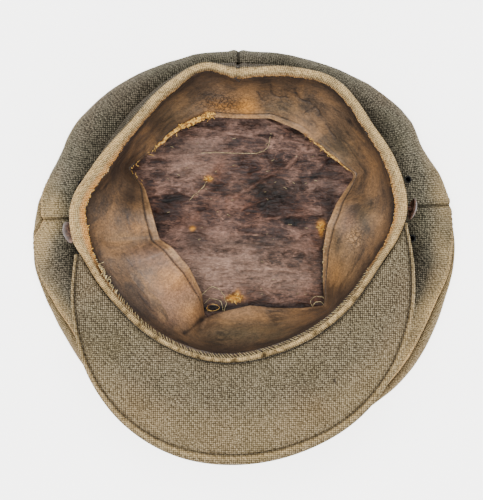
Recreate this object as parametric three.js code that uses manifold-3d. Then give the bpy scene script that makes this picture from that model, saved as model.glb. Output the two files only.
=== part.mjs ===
// A soft khaki trench cap, lying upside down on the outside of its crown with the head opening facing up.
// Millimetres, +Z up. The origin is on the surface it lies on, under the middle of the crown. The peak points
// to -Y, and left and right are those of somebody who looks down into the opening with the peak towards them.
import * as THREE from "three";
import { mergeVertices } from "three/addons/utils/BufferGeometryUtils.js";
import Module from "manifold-3d";

const wasm = await Module();
wasm.setup();

// Driving sizes
const openingMiddle = { x: -2, y: 22 }; // every reach and angle below is measured from here
const gap = 0.35; // left between pieces that touch
const clothWall = 2; // crown and quarters: wool with its canvas
const crownEdge = { round: 20, up: 14 }; // how the crown's cloth curls up to its widest
const quarterPuff = { shoulder: 10, crest: 2, crestShare: 0.42 };
const foot = { across: 188, along: 194, up: 38, belowSeam: 2.5 }; // where the band meets the quarters
const bandWall = 3.2;
const bandBelly = 1.2; // how far the band's middle stands out of a straight line
const rollDrop = 5; // how far below the rim the turned-in cloth ends
const leatherWall = 1.6;
const leatherWidth = 48;
const leatherJoins = { back: 90, front: 249 }; // degrees, where its two lengths meet
const joinTrim = 0.15; // degrees, half the gap at a join
const liningWall = 1;
const liningFloor = 6; // height of the lining's middle
const liningInset = 10; // how far inside the crown's edge the lining turns up
const peakSize = { from: 194, to: 357, wall: 4, edgeWall: 2.6, slope: 0.2, dish: 1.25 };
const seams = { right: 3, back: 90, left: 181, front: 270 }; // degrees

// Mesh steps
const stepsRound = 72;
const leatherStep = 5; // degrees at the most, with a section at every corner
const liningSteps = 48;
const peakSteps = 36;

// The crown's outline: how far out it reaches at each bump and dent, and where its seam lies on the curled edge:
// 0 is where the edge leaves the floor, 1 its widest, 2 the foot of the band.
const crownRows = [
  { at: 0, reach: 138.4, seam: 1.0 },
  { at: 11, reach: 134.2, seam: 0.75 },
  { at: 20, reach: 128.5, seam: 0.7 },
  { at: 29, reach: 128.3, seam: 0.7 },
  { at: 40, reach: 123.4, seam: 0.7 },
  { at: 55, reach: 116.2, seam: 0.7 },
  { at: 72, reach: 110.2, seam: 0.7 },
  { at: 90, reach: 107.6, seam: 0.7 },
  { at: 110, reach: 109.6, seam: 0.7 },
  { at: 128, reach: 115, seam: 0.7 },
  { at: 146, reach: 120.8, seam: 0.7 },
  { at: 162, reach: 123.3, seam: 0.72 },
  { at: 170, reach: 126.6, seam: 0.85 },
  { at: 176, reach: 130.1, seam: 1.12 },
  { at: 182, reach: 132.4, seam: 1.3 },
  { at: 187, reach: 134.1, seam: 1.02 },
  { at: 194, reach: 135.8, seam: 1.08 },
  { at: 203, reach: 136.3, seam: 1.22 },
  { at: 214, reach: 136.9, seam: 1.3 },
  { at: 226, reach: 140, seam: 1.28 },
  { at: 245, reach: 142.5, seam: 1.1 },
  { at: 270, reach: 146, seam: 1.0 },
  { at: 295, reach: 150, seam: 1.1 },
  { at: 318, reach: 150.5, seam: 1.27 },
  { at: 335, reach: 145.7, seam: 1.27 },
  { at: 348, reach: 143.2, seam: 1.15 },
];

// The rim of the opening: its outer reach, the width of the cloth turned in over it, and its height.
const rimRows = [
  { at: 0, reach: 103.5, turn: 7.7, up: 82.5 },
  { at: 19, reach: 102.1, turn: 7, up: 83.5 },
  { at: 34, reach: 99.6, turn: 6.2, up: 82 },
  { at: 54, reach: 102.3, turn: 6.2, up: 84.5 },
  { at: 68, reach: 97.1, turn: 6, up: 83 },
  { at: 90, reach: 89.5, turn: 6.2, up: 81 },
  { at: 103, reach: 95.2, turn: 5, up: 84 },
  { at: 118, reach: 91.8, turn: 6.4, up: 82 },
  { at: 140, reach: 87.6, turn: 6.6, up: 79.5 },
  { at: 162, reach: 94.7, turn: 10, up: 81 },
  { at: 176, reach: 102.9, turn: 9.8, up: 84 },
  { at: 188, reach: 103.2, turn: 10.6, up: 83.5 },
  { at: 196, reach: 99.4, turn: 7.4, up: 82 },
  { at: 215, reach: 94.1, turn: 5.1, up: 80.5 },
  { at: 240, reach: 92.4, turn: 3.8, up: 79.5 },
  { at: 262, reach: 91.8, turn: 3.7, up: 79 },
  { at: 285, reach: 88.6, turn: 3.8, up: 79.5 },
  { at: 310, reach: 88.6, turn: 4.6, up: 80.5 },
  { at: 338, reach: 92, turn: 4.8, up: 82 },
];

// The sweatband's free edge: the corners and flats that it has folded into.
const leatherRows = [
  { at: 7, reach: 63.1 },
  { at: 19, reach: 79.6 },
  { at: 32, reach: 70.9 },
  { at: 54, reach: 66.5 },
  { at: 72, reach: 65.8 },
  { at: 89, reach: 63 },
  { at: 107, reach: 66 },
  { at: 126, reach: 68.4 },
  { at: 157, reach: 77 },
  { at: 163, reach: 63.5 },
  { at: 175, reach: 55.7 },
  { at: 197, reach: 52.1 },
  { at: 206, reach: 46.4 },
  { at: 227, reach: 45.4 },
  { at: 245, reach: 55.3 },
  { at: 252, reach: 69.7 },
  { at: 260, reach: 63 },
  { at: 277, reach: 58.2 },
  { at: 292, reach: 64.2 },
  { at: 304, reach: 72.2 },
  { at: 314, reach: 81 },
  { at: 320, reach: 71.8 },
  { at: 338, reach: 58.7 },
  { at: 353, reach: 56.7 },
];

// The peak's outer edge.
const peakRows = [
  { at: 192, reach: 103.1 },
  { at: 198, reach: 106.6 },
  { at: 206, reach: 114.1 },
  { at: 216, reach: 123.8 },
  { at: 228, reach: 135.8 },
  { at: 242, reach: 146.7 },
  { at: 256, reach: 152.6 },
  { at: 270, reach: 153 },
  { at: 285, reach: 150.2 },
  { at: 300, reach: 145.1 },
  { at: 315, reach: 135.6 },
  { at: 328, reach: 125.1 },
  { at: 340, reach: 115.2 },
  { at: 350, reach: 107.8 },
  { at: 358, reach: 103.8 },
];

// Small hardware. turned and tipped aim its face: degrees round from +X, and degrees up.
const buttons = [
  { name: "button_left", at: 185.5, up: 63, turned: 198, tipped: 32 },
  { name: "button_right", at: 2.6, up: 68, turned: 347, tipped: -8 },
];
const vents = [
  { name: "vent_right_back", at: 12, share: 1.7 },
  { name: "vent_right_front", at: 352.5, share: 1.73 },
  { name: "vent_left_back", at: 168.5, share: 1.83 },
  { name: "vent_left_front", at: 193, share: 1.85 },
];
const ventSize = { flange: 2.5, barrel: 1.8, hole: 1.2, proud: 0.5, sides: 12 };

const radians = THREE.MathUtils.degToRad;

function rowPair(rows, angle) {
  const a = THREE.MathUtils.euclideanModulo(angle, 360);
  let next = rows.findIndex((row) => row.at > a);
  if (next < 0) next = rows.length;
  const get = (i) => {
    const lap = Math.floor(i / rows.length);
    const row = rows[i - lap * rows.length];
    return { ...row, at: row.at + 360 * lap };
  };
  return { a, rows: [get(next - 2), get(next - 1), get(next), get(next + 1)] };
}

// A smooth closed curve through one column of a table.
function smooth(rows, column) {
  return (angle) => {
    const { a, rows: [p, q, r, s] } = rowPair(rows, angle);
    const span = r.at - q.at;
    const t = (a - q.at) / span;
    const slopeQ = ((r[column] - p[column]) / (r.at - p.at)) * span;
    const slopeR = ((s[column] - q[column]) / (s.at - q.at)) * span;
    const t2 = t * t;
    const t3 = t2 * t;
    return (
      (2 * t3 - 3 * t2 + 1) * q[column] +
      (t3 - 2 * t2 + t) * slopeQ +
      (3 * t2 - 2 * t3) * r[column] +
      (t3 - t2) * slopeR
    );
  };
}

// A closed outline of straight chords through one column, as folded leather takes.
function folded(rows, column) {
  return (angle) => {
    const { a, rows: [, q, r] } = rowPair(rows, angle);
    const whole = Math.sin(radians(r.at - q.at));
    const before = Math.sin(radians(a - q.at));
    const after = Math.sin(radians(r.at - a));
    return (q[column] * r[column] * whole) / (q[column] * before + r[column] * after);
  };
}

const crownReach = smooth(crownRows, "reach");
const crownSeam = smooth(crownRows, "seam");
const rimReach = smooth(rimRows, "reach");
const rimTurn = smooth(rimRows, "turn");
const rimUp = smooth(rimRows, "up");
const leatherReach = folded(leatherRows, "reach");
const peakReach = smooth(peakRows, "reach");

function footReach(angle) {
  const x = Math.cos(radians(angle)) / (foot.across / 2);
  const y = Math.sin(radians(angle)) / (foot.along / 2);
  return 1 / Math.hypot(x, y);
}

const mix = THREE.MathUtils.lerp;

// A point at a reach and height on the spoke at an angle.
function onSpoke(angle, [reach, up]) {
  return [
    openingMiddle.x + reach * Math.cos(radians(angle)),
    openingMiddle.y + reach * Math.sin(radians(angle)),
    up,
  ];
}

function cubic([a, b, c, d], t) {
  const u = 1 - t;
  const k = [u * u * u, 3 * u * u * t, 3 * u * t * t, t * t * t];
  return [0, 1].map((i) => k[0] * a[i] + k[1] * b[i] + k[2] * c[i] + k[3] * d[i]);
}

// The band's outer face along a spoke, for share 0 at its foot to 1 at the rim.
function bandFace(angle, share) {
  const belly = bandBelly * Math.sin(share * Math.PI);
  return [
    mix(footReach(angle), rimReach(angle), share) + belly,
    mix(foot.up - foot.belowSeam, rimUp(angle), share),
  ];
}

// The share of the band's face at which the quarters are sewn on.
function footShare(angle) {
  return foot.belowSeam / (rimUp(angle) - foot.up + foot.belowSeam);
}

// The outside of the crown and quarters along a spoke, as [reach, height]: see crownRows for share.
function shell(angle, share) {
  const reach = crownReach(angle);
  if (share <= 1) {
    const turn = (share * Math.PI) / 2;
    return [
      reach - crownEdge.round * (1 - Math.sin(turn)),
      crownEdge.up * (1 - Math.cos(turn)),
    ];
  }
  const top = bandFace(angle, footShare(angle))[0] + gap;
  return cubic(
    [
      [reach, crownEdge.up],
      [reach, crownEdge.up + quarterPuff.shoulder],
      [mix(top, reach, quarterPuff.crestShare), foot.up + quarterPuff.crest],
      [top, foot.up],
    ],
    share - 1,
  );
}

// Moves a curve's points to its left side, which on the shell is the inside of the cap.
function offset(curve, t, distance, step = 0.01) {
  const [p, a, b] = [curve(t), curve(t - step), curve(t + step)];
  const run = [b[0] - a[0], b[1] - a[1]];
  const length = Math.hypot(...run);
  return [p[0] - (run[1] / length) * distance, p[1] + (run[0] / length) * distance];
}

function geometryFrom(points, triangles) {
  const geometry = new THREE.BufferGeometry();
  geometry.setAttribute("position", new THREE.Float32BufferAttribute(points.flat(), 3));
  geometry.setIndex(triangles.flat());
  return geometry;
}

// A solid swept along the spokes at some angles: section(angle) gives a closed outline of [reach, height] corners.
// A whole turn closes on itself. A part of a turn gets flat ends, each a strip between the outline's two sides.
function sweep(section, angles, whole = false) {
  const points = [];
  for (const angle of angles)
    for (const corner of section(angle)) points.push(onSpoke(angle, corner));
  const sections = angles.length;
  const steps = whole ? sections : sections - 1;
  const count = points.length / sections;
  const triangles = [];
  for (let i = 0; i < steps; i++) {
    const here = i * count;
    const next = ((i + 1) % sections) * count;
    for (let j = 0; j < count; j++) {
      const k = (j + 1) % count;
      triangles.push([here + j, next + j, next + k], [here + j, next + k, here + k]);
    }
  }
  if (!whole) {
    const end = steps * count;
    for (let j = 0, k = count - 1; j + 1 < k; j++, k--) {
      const strip = [[j, j + 1, k]];
      if (j + 1 < k - 1) strip.push([j + 1, k - 1, k]);
      for (const [a, b, c] of strip) triangles.push([a, b, c], [end + a, end + c, end + b]);
    }
  }
  return geometryFrom(points, triangles);
}

// A bowl or disc: under(angle) and over(angle) give the same number of [reach, height] points from the middle out,
// the first at reach 0.
function bowl(under, over, angles) {
  const steps = angles.length;
  const rings = under(0).length - 1;
  const faces = [under, over];
  const points = faces.map((face) => onSpoke(0, face(0)[0]));
  for (const face of faces)
    for (const angle of angles)
      for (const corner of face(angle).slice(1)) points.push(onSpoke(angle, corner));
  const index = (side, i, ring) => 2 + side * steps * rings + (i % steps) * rings + ring;
  const triangles = [];
  for (let i = 0; i < steps; i++) {
    for (const side of [0, 1]) {
      const add = (a, b, c) => triangles.push(side ? [a, b, c] : [a, c, b]);
      add(side, index(side, i, 0), index(side, i + 1, 0));
      for (let ring = 0; ring + 1 < rings; ring++) {
        const [a, b] = [index(side, i, ring), index(side, i, ring + 1)];
        const [c, d] = [index(side, i + 1, ring), index(side, i + 1, ring + 1)];
        add(a, b, d);
        add(a, d, c);
      }
    }
    const last = rings - 1;
    const [a, b] = [index(0, i, last), index(0, i + 1, last)];
    const [c, d] = [index(1, i, last), index(1, i + 1, last)];
    triangles.push([a, b, d], [a, d, c]);
  }
  return geometryFrom(points, triangles);
}

function bare(geometry) {
  const copy = geometry.clone();
  copy.deleteAttribute("normal");
  copy.deleteAttribute("uv");
  return mergeVertices(copy, 1e-4);
}

function solidFrom(geometry) {
  const merged = bare(geometry);
  return new wasm.Manifold(
    new wasm.Mesh({
      numProp: 3,
      vertProperties: new Float32Array(merged.attributes.position.array),
      triVerts: new Uint32Array(merged.index.array),
    }),
  );
}

function geometryOf(solid) {
  const mesh = solid.getMesh();
  const geometry = new THREE.BufferGeometry();
  geometry.setAttribute("position", new THREE.BufferAttribute(mesh.vertProperties, 3));
  geometry.setIndex(new THREE.BufferAttribute(mesh.triVerts, 1));
  return geometry;
}

const shares = (from, to, count) =>
  Array.from({ length: count + 1 }, (_, i) => mix(from, to, i / count));

const turnOf = (steps) => shares(0, 360, steps).slice(0, -1);

// The spokes of everything in cloth, one at each side seam among them, so that faces on a seam agree.
const clothAngles = [...new Set([...turnOf(stepsRound), ...Object.values(seams)])].sort(
  (a, b) => a - b,
);

const seamShare = gap / 2 / crownEdge.round; // half a seam's gap, in the shell's own measure

// Crown: the flat round panel and its curled edge, up to the seam.
function crownTop() {
  const flat = 0.55;
  const edgeSteps = 4;
  const edge = (angle) => shares(0, crownSeam(angle) - seamShare, edgeSteps);
  const under = (angle) => {
    const start = shell(angle, 0)[0];
    return [[0, 0], [start * flat, 0], ...edge(angle).map((s) => shell(angle, s))];
  };
  const over = (angle) => {
    const start = shell(angle, 0)[0];
    const inside = edge(angle).map((s) =>
      s === 0 ? [start, clothWall] : offset((t) => shell(angle, t), s, clothWall),
    );
    return [[0, clothWall], [start * flat, clothWall], ...inside];
  };
  return bowl(under, over, clothAngles);
}

// One of the four side panels, between two seams.
function quarter(from, to) {
  const rows = 6;
  const seamTrim = 0.1; // degrees, half the gap at a side seam
  const section = (angle) => {
    const along = shares(crownSeam(angle) + seamShare, 2, rows);
    const outside = along.map((s) => shell(angle, s));
    const inside = along.map((s) => offset((t) => shell(angle, t), s, clothWall));
    return [...outside, ...inside.reverse()];
  };
  const between = clothAngles
    .flatMap((angle) => [angle, angle + 360])
    .filter((angle) => angle > from + 1 && angle < to - 1)
    .sort((a, b) => a - b);
  return sweep(section, [from + seamTrim, ...between, to - seamTrim]);
}

function band() {
  const section = (angle) => {
    const [rim, up, turn] = [rimReach(angle), rimUp(angle), rimTurn(angle)];
    const outside = [0, 0.3, 0.62].map((share) => bandFace(angle, share));
    const inside = [0.62, 0.3, 0].map((share) => {
      const [reach, height] = bandFace(angle, share);
      return [reach - bandWall, height];
    });
    return [
      ...outside,
      [rim, up - 2],
      [rim - 0.9, up - 0.5],
      [rim - 2.2, up],
      [rim - turn, up - rollDrop],
      [rim - bandWall, up - rollDrop - 0.3],
      ...inside,
    ];
  };
  return sweep(section, clothAngles, true);
}

// The sweatband hangs from under the turned-in cloth and leans in to its free edge. Where it reaches less far in it
// hangs deeper, because the leather is as wide all round.
function leatherCurve(angle) {
  const rim = rimReach(angle);
  const sewnReach = Math.min(rim - rimTurn(angle) + 0.8, rim - bandWall - gap - leatherWall / 2);
  const sewnUp = rimUp(angle) - rollDrop - gap - leatherWall / 2;
  const edgeReach = leatherReach(angle);
  const lean = sewnReach - edgeReach;
  const drop = Math.sqrt(leatherWidth ** 2 - lean ** 2);
  return (t) =>
    cubic(
      [
        [sewnReach, sewnUp],
        [sewnReach - 0.12 * lean, sewnUp - 0.5 * drop],
        [edgeReach + 0.38 * lean, sewnUp - 0.88 * drop],
        [edgeReach, sewnUp - drop],
      ],
      t,
    );
}

// One length of it, between two of its joins.
function sweatband(from, to) {
  const rows = [0, 0.3, 0.65, 1];
  const section = (angle) => {
    const curve = leatherCurve(angle);
    const side = (distance) => rows.map((t) => offset(curve, t, distance));
    return [...side(-leatherWall / 2), ...side(leatherWall / 2).reverse()];
  };
  const between = leatherRows
    .flatMap(({ at }, i) => {
      const next = i + 1 < leatherRows.length ? leatherRows[i + 1].at : leatherRows[0].at + 360;
      return shares(at, next, Math.ceil((next - at) / leatherStep)).slice(1);
    })
    .flatMap((angle) => [angle - 360, angle, angle + 360])
    .filter((angle) => angle > from + 1 && angle < to - 1)
    .sort((a, b) => a - b);
  return sweep(section, [from + joinTrim, ...between, to - joinTrim]);
}

// The lining fills the crown like a flat bag and is caught in the seam under the band's foot.
function lining() {
  const mouth = (angle) => footReach(angle) - 1;
  const profile = (angle) => {
    const turnUp = crownReach(angle) - liningInset;
    return [
      [0, liningFloor],
      [0.5 * turnUp, liningFloor - 1],
      [turnUp - 16, liningFloor - 1],
      [turnUp - 4, liningFloor + 2],
      [turnUp, liningFloor + 9],
      [mouth(angle), foot.up - foot.belowSeam - gap],
    ];
  };
  const over = (angle) =>
    profile(angle).map(([reach, up], i, all) => {
      if (i < 3) return [reach, up + liningWall];
      if (i === all.length - 1) return [reach - liningWall * 0.9, up - 0.4];
      return [reach - liningWall * 0.8, up + liningWall * (i === 3 ? 1 : 0)];
    });
  return bowl(profile, over, turnOf(liningSteps));
}

// The peak springs from the outside of the rim, all along the front, and rises a little to its edge.
function peak() {
  const across = [0, 0.3, 0.65, 0.96];
  const section = (angle) => {
    const up = rimUp(angle) - 1;
    const root = Math.max(rimReach(angle), bandFace(angle, 0.88)[0]) + gap;
    const reach = peakReach(angle);
    const width = reach - root;
    const height = (t) => up + peakSize.slope * width * t ** peakSize.dish;
    const top = across.map((t) => [root + width * t, height(t)]);
    const wall = (t) => mix(peakSize.wall, peakSize.edgeWall, t);
    const under = across.map((t) => [root + width * t, height(t) - wall(t)]);
    const edge = [reach, height(1) - peakSize.edgeWall / 2];
    return [...under, edge, ...top.reverse()];
  };
  return sweep(section, shares(peakSize.from, peakSize.to, peakSteps));
}

// A hollow-backed domed button on a shank, along +Z.
function button() {
  const profile = [
    [0, 0],
    [1.3, 0],
    [1.3, 5.6],
    [5.4, 5.6],
    [6.2, 4.7],
    [6.8, 4.9],
    [6.7, 5.8],
    [5, 7],
    [2.6, 7.7],
    [0, 7.9],
  ].map(([reach, up]) => new THREE.Vector2(reach, up));
  return new THREE.LatheGeometry(profile, 18);
}

// An eyelet along +Z: its flange lies over the cloth at height 0, and its barrel goes down through it.
function vent() {
  const { flange, barrel, hole, proud, sides } = ventSize;
  const profile = [
    [hole, -clothWall - gap],
    [barrel, -clothWall - gap],
    [barrel, gap / 2],
    [flange, gap / 2],
    [flange - 0.4, proud],
    [hole + 0.3, proud],
    [hole, proud - 0.3],
    [hole, -clothWall - gap],
  ].map(([reach, up]) => new THREE.Vector2(reach, up));
  return new THREE.LatheGeometry(profile, sides);
}

// LatheGeometry turns about Y. This stands it on +Z, then aims +Z along a direction and moves it to a place.
function placed(geometry, place, direction) {
  const aim = new THREE.Quaternion().setFromUnitVectors(
    new THREE.Vector3(0, 1, 0),
    direction.clone().normalize(),
  );
  return geometry.applyQuaternion(aim).translate(place.x, place.y, place.z);
}

function faceNormal(angle, share) {
  const step = 0.02;
  const at = (a, s) => new THREE.Vector3(...onSpoke(a, shell(a, s)));
  const up = at(angle, share + step).sub(at(angle, share - step));
  const round = at(angle + 1, share).sub(at(angle - 1, share));
  return round.cross(up).normalize();
}

function ventPlace(spot) {
  return new THREE.Vector3(...onSpoke(spot.at, shell(spot.at, spot.share)));
}

const wool = { color: 0x6b624f, roughness: 0.95, metalness: 0 };
const leather = { color: 0x6a4f38, roughness: 0.55, metalness: 0 };
const oilcloth = { color: 0x4a3a34, roughness: 0.6, metalness: 0 };
const bronze = { color: 0x6d5548, roughness: 0.45, metalness: 0.8 };
const blackened = { color: 0x17181a, roughness: 0.6, metalness: 0.6 };

const cap = new THREE.Group();

function add(name, geometry, look) {
  const mesh = new THREE.Mesh(geometry, new THREE.MeshStandardMaterial(look));
  mesh.name = name;
  mesh.geometry.computeVertexNormals();
  cap.add(mesh);
}

// Cuts the eyelets' holes in a side panel.
function withVents(geometry) {
  const reach = ventSize.barrel + gap;
  let solid = solidFrom(geometry);
  for (const spot of vents) {
    const drill = new THREE.CylinderGeometry(reach, reach, 12, ventSize.sides);
    const place = ventPlace(spot);
    solid = solid.subtract(solidFrom(placed(drill, place, faceNormal(spot.at, spot.share))));
  }
  return geometryOf(solid);
}

add("crown_top", crownTop(), wool);
const { right, back, left, front } = seams;
add("quarter_back_right", withVents(quarter(right, back)), wool);
add("quarter_back_left", withVents(quarter(back, left)), wool);
add("quarter_front_left", withVents(quarter(left, front)), wool);
add("quarter_front_right", withVents(quarter(front, right + 360)), wool);
add("band", band(), wool);
add("peak", peak(), wool);
add("sweatband_left", sweatband(leatherJoins.back, leatherJoins.front), leather);
add("sweatband_right", sweatband(leatherJoins.front, leatherJoins.back + 360), leather);
add("lining", lining(), oilcloth);

for (const spot of buttons) {
  const share = (spot.up - foot.up) / (rimUp(spot.at) - foot.up);
  const [reach] = bandFace(spot.at, share);
  const standOff = 1.2; // clears the tipped shank's foot from the band
  const base = new THREE.Vector3(...onSpoke(spot.at, [reach + standOff, spot.up]));
  const [turned, tipped] = [radians(spot.turned), radians(spot.tipped)];
  const aim = new THREE.Vector3(
    Math.cos(turned) * Math.cos(tipped),
    Math.sin(turned) * Math.cos(tipped),
    Math.sin(tipped),
  );
  add(spot.name, placed(button(), base, aim), bronze);
}

for (const spot of vents) {
  const normal = faceNormal(spot.at, spot.share);
  const place = ventPlace(spot).addScaledVector(normal, gap / 2);
  add(spot.name, placed(vent(), place, normal), blackened);
}

export default cap;
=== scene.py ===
import math
import random
from functools import lru_cache

import bmesh
import bpy
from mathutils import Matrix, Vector, noise


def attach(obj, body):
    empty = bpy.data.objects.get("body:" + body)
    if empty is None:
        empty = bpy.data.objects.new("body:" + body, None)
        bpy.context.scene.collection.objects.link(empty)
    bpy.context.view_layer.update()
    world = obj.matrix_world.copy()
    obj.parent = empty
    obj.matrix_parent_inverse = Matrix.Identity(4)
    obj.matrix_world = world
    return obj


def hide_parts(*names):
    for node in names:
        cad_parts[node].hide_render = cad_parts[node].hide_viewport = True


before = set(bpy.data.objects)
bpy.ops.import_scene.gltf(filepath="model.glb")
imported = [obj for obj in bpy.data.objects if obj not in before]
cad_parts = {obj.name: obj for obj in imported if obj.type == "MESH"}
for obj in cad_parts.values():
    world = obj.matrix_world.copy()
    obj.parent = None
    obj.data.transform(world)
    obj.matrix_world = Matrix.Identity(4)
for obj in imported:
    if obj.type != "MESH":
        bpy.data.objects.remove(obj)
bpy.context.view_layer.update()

print("trench cap: frame loaded")

# A soft khaki trench cap lying on its crown, seen from above into its leather sweatband. Sizes are
# millimetres until a mesh is made. Angles and reaches are counted from the middle of the head opening, as in
# the part itself.
mm = 0.001
openingMiddle = (-2.0, 22.0)
random.seed(7)
noise.seed_set(7)


def table(columns, *rows):
    return [dict(zip(columns.split(), row)) for row in rows]


# Outline of the crown. seam is where its seam lies on the edge: 0 on the floor, 1 widest, 2 at the band.
crownRows = table(
    "at reach seam",
    (0, 138.4, 1.0),
    (11, 134.2, 0.75),
    (20, 128.5, 0.7),
    (29, 128.3, 0.7),
    (40, 123.4, 0.7),
    (55, 116.2, 0.7),
    (72, 110.2, 0.7),
    (90, 107.6, 0.7),
    (110, 109.6, 0.7),
    (128, 115, 0.7),
    (146, 120.8, 0.7),
    (162, 123.3, 0.72),
    (170, 126.6, 0.85),
    (176, 130.1, 1.12),
    (182, 132.4, 1.3),
    (187, 134.1, 1.02),
    (194, 135.8, 1.08),
    (203, 136.3, 1.22),
    (214, 136.9, 1.3),
    (226, 140, 1.28),
    (245, 142.5, 1.1),
    (270, 146, 1.0),
    (295, 150, 1.1),
    (318, 150.5, 1.27),
    (335, 145.7, 1.27),
    (348, 143.2, 1.15),
)

# The rim: how far out, how wide its turned-in cloth is, how high, and how worn that cloth is.
rimRows = table(
    "at reach turn up worn",
    (0, 103.5, 7.7, 82.5, 0.5),
    (19, 102.1, 7, 83.5, 0.15),
    (34, 99.6, 6.2, 82, 0.1),
    (54, 102.3, 6.2, 84.5, 0.1),
    (68, 97.1, 6, 83, 0.25),
    (90, 89.5, 6.2, 81, 0.3),
    (103, 95.2, 5, 84, 0.1),
    (118, 91.8, 6.4, 82, 0.2),
    (140, 87.6, 6.6, 79.5, 0.35),
    (162, 94.7, 10, 81, 0.6),
    (176, 102.9, 9.8, 84, 0.9),
    (188, 103.2, 10.6, 83.5, 1.0),
    (196, 99.4, 7.4, 82, 0.9),
    (215, 94.1, 5.1, 80.5, 0.5),
    (240, 92.4, 3.8, 79.5, 0.2),
    (262, 91.8, 3.7, 79, 0.15),
    (285, 88.6, 3.8, 79.5, 0.15),
    (310, 88.6, 4.6, 80.5, 0.2),
    (338, 92, 4.8, 82, 0.4),
)

# The sweatband's free edge: corners and flats.
leatherRows = table(
    "at reach",
    (7, 63.1),
    (19, 79.6),
    (32, 70.9),
    (54, 66.5),
    (72, 65.8),
    (89, 63),
    (107, 66),
    (126, 68.4),
    (157, 77),
    (163, 63.5),
    (175, 55.7),
    (197, 52.1),
    (206, 46.4),
    (227, 45.4),
    (245, 55.3),
    (252, 69.7),
    (260, 63),
    (277, 58.2),
    (292, 64.2),
    (304, 72.2),
    (314, 81),
    (320, 71.8),
    (338, 58.7),
    (353, 56.7),
)

# The peak's outer edge, and how far inside it the seam of its edge lies.
peakRows = table(
    "at reach hem",
    (192, 103.1, 2.4),
    (198, 106.6, 2.4),
    (206, 114.1, 2.6),
    (216, 123.8, 3),
    (228, 135.8, 3.6),
    (242, 146.7, 4.6),
    (256, 152.6, 5.8),
    (270, 153, 6.2),
    (285, 150.2, 6),
    (300, 145.1, 5.2),
    (315, 135.6, 4.2),
    (328, 125.1, 3.4),
    (340, 115.2, 2.8),
    (350, 107.8, 2.4),
    (358, 103.8, 2.4),
)


def mix(a, b, t):
    return a + (b - a) * t


def ease(low, high, value):
    t = min(1.0, max(0.0, (value - low) / (high - low)))
    return t * t * (3 - 2 * t)


def bump(distance, width):
    return math.exp(-((distance / width) ** 2))


# Perlin noise of about -1 to 1, with features of one size in mm and smaller ones on them.
def rough(x, y, z, size, octaves=1):
    total, weight, reach = 0.0, 1.0, 0.0
    for _ in range(octaves):
        total += noise.noise(Vector((x / size, y / size, z / size + 9.1))) * weight
        reach += weight
        weight, size = weight * 0.5, size * 0.5
    return total / reach


def rowsRound(rows, angle):
    a = angle % 360
    after = next((i for i, row in enumerate(rows) if row["at"] > a), len(rows))
    near = []
    for i in range(after - 2, after + 2):
        lap, k = divmod(i, len(rows))
        near.append({**rows[k], "at": rows[k]["at"] + 360 * lap})
    return a, near


# A smooth closed curve through one column of a table.
def smooth(rows, column):
    @lru_cache(maxsize=None)
    def at(angle):
        a, (p, q, r, s) = rowsRound(rows, angle)
        span = r["at"] - q["at"]
        t = (a - q["at"]) / span
        slopeQ = (r[column] - p[column]) / (r["at"] - p["at"]) * span
        slopeR = (s[column] - q[column]) / (s["at"] - q["at"]) * span
        return (
            (2 * t**3 - 3 * t**2 + 1) * q[column]
            + (t**3 - 2 * t**2 + t) * slopeQ
            + (3 * t**2 - 2 * t**3) * r[column]
            + (t**3 - t**2) * slopeR
        )

    return at


# A closed outline of straight chords, its corners eased over a few degrees, as folded leather takes.
def folded(rows, column, soften=1.2):
    def chord(angle):
        a, (_, q, r, _) = rowsRound(rows, angle)
        whole = math.sin(math.radians(r["at"] - q["at"]))
        before = math.sin(math.radians(a - q["at"]))
        after = math.sin(math.radians(r["at"] - a))
        return q[column] * r[column] * whole / (q[column] * before + r[column] * after)

    @lru_cache(maxsize=None)
    def at(angle):
        return sum(chord(angle + k * soften) * 0.2 for k in (-1, -0.5, 0, 0.5, 1))

    return at


crownReach = smooth(crownRows, "reach")
crownSeam = smooth(crownRows, "seam")
rimReach = smooth(rimRows, "reach")
rimTurn = smooth(rimRows, "turn")
rimUp = smooth(rimRows, "up")
rimWorn = smooth(rimRows, "worn")
leatherReach = folded(leatherRows, "reach")
peakReach = smooth(peakRows, "reach")
peakHem = smooth(peakRows, "hem")


def heading(angle):
    return math.cos(math.radians(angle)), math.sin(math.radians(angle))


def onSpoke(angle, reach, up):
    c, s = heading(angle)
    return (openingMiddle[0] + reach * c, openingMiddle[1] + reach * s, up)


def cubic(points, t):
    u = 1 - t
    weights = (u**3, 3 * u * u * t, 3 * u * t * t, t**3)
    return tuple(sum(w * p[i] for w, p in zip(weights, points)) for i in (0, 1))


# A point of a curve, moved to the curve's left by a distance.
def offset(curve, t, distance, step=0.004):
    p, a, b = curve(t), curve(t - step), curve(t + step)
    run = (b[0] - a[0], b[1] - a[1])
    length = math.hypot(*run)
    return (p[0] - run[1] / length * distance, p[1] + run[0] / length * distance)


def lengthsAlong(points):
    total, lengths = 0.0, [0.0]
    for a, b in zip(points, points[1:]):
        total += math.dist(a, b)
        lengths.append(total)
    return lengths


def spread(low, high, count):
    return [mix(low, high, i / count) for i in range(count + 1)]


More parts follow.
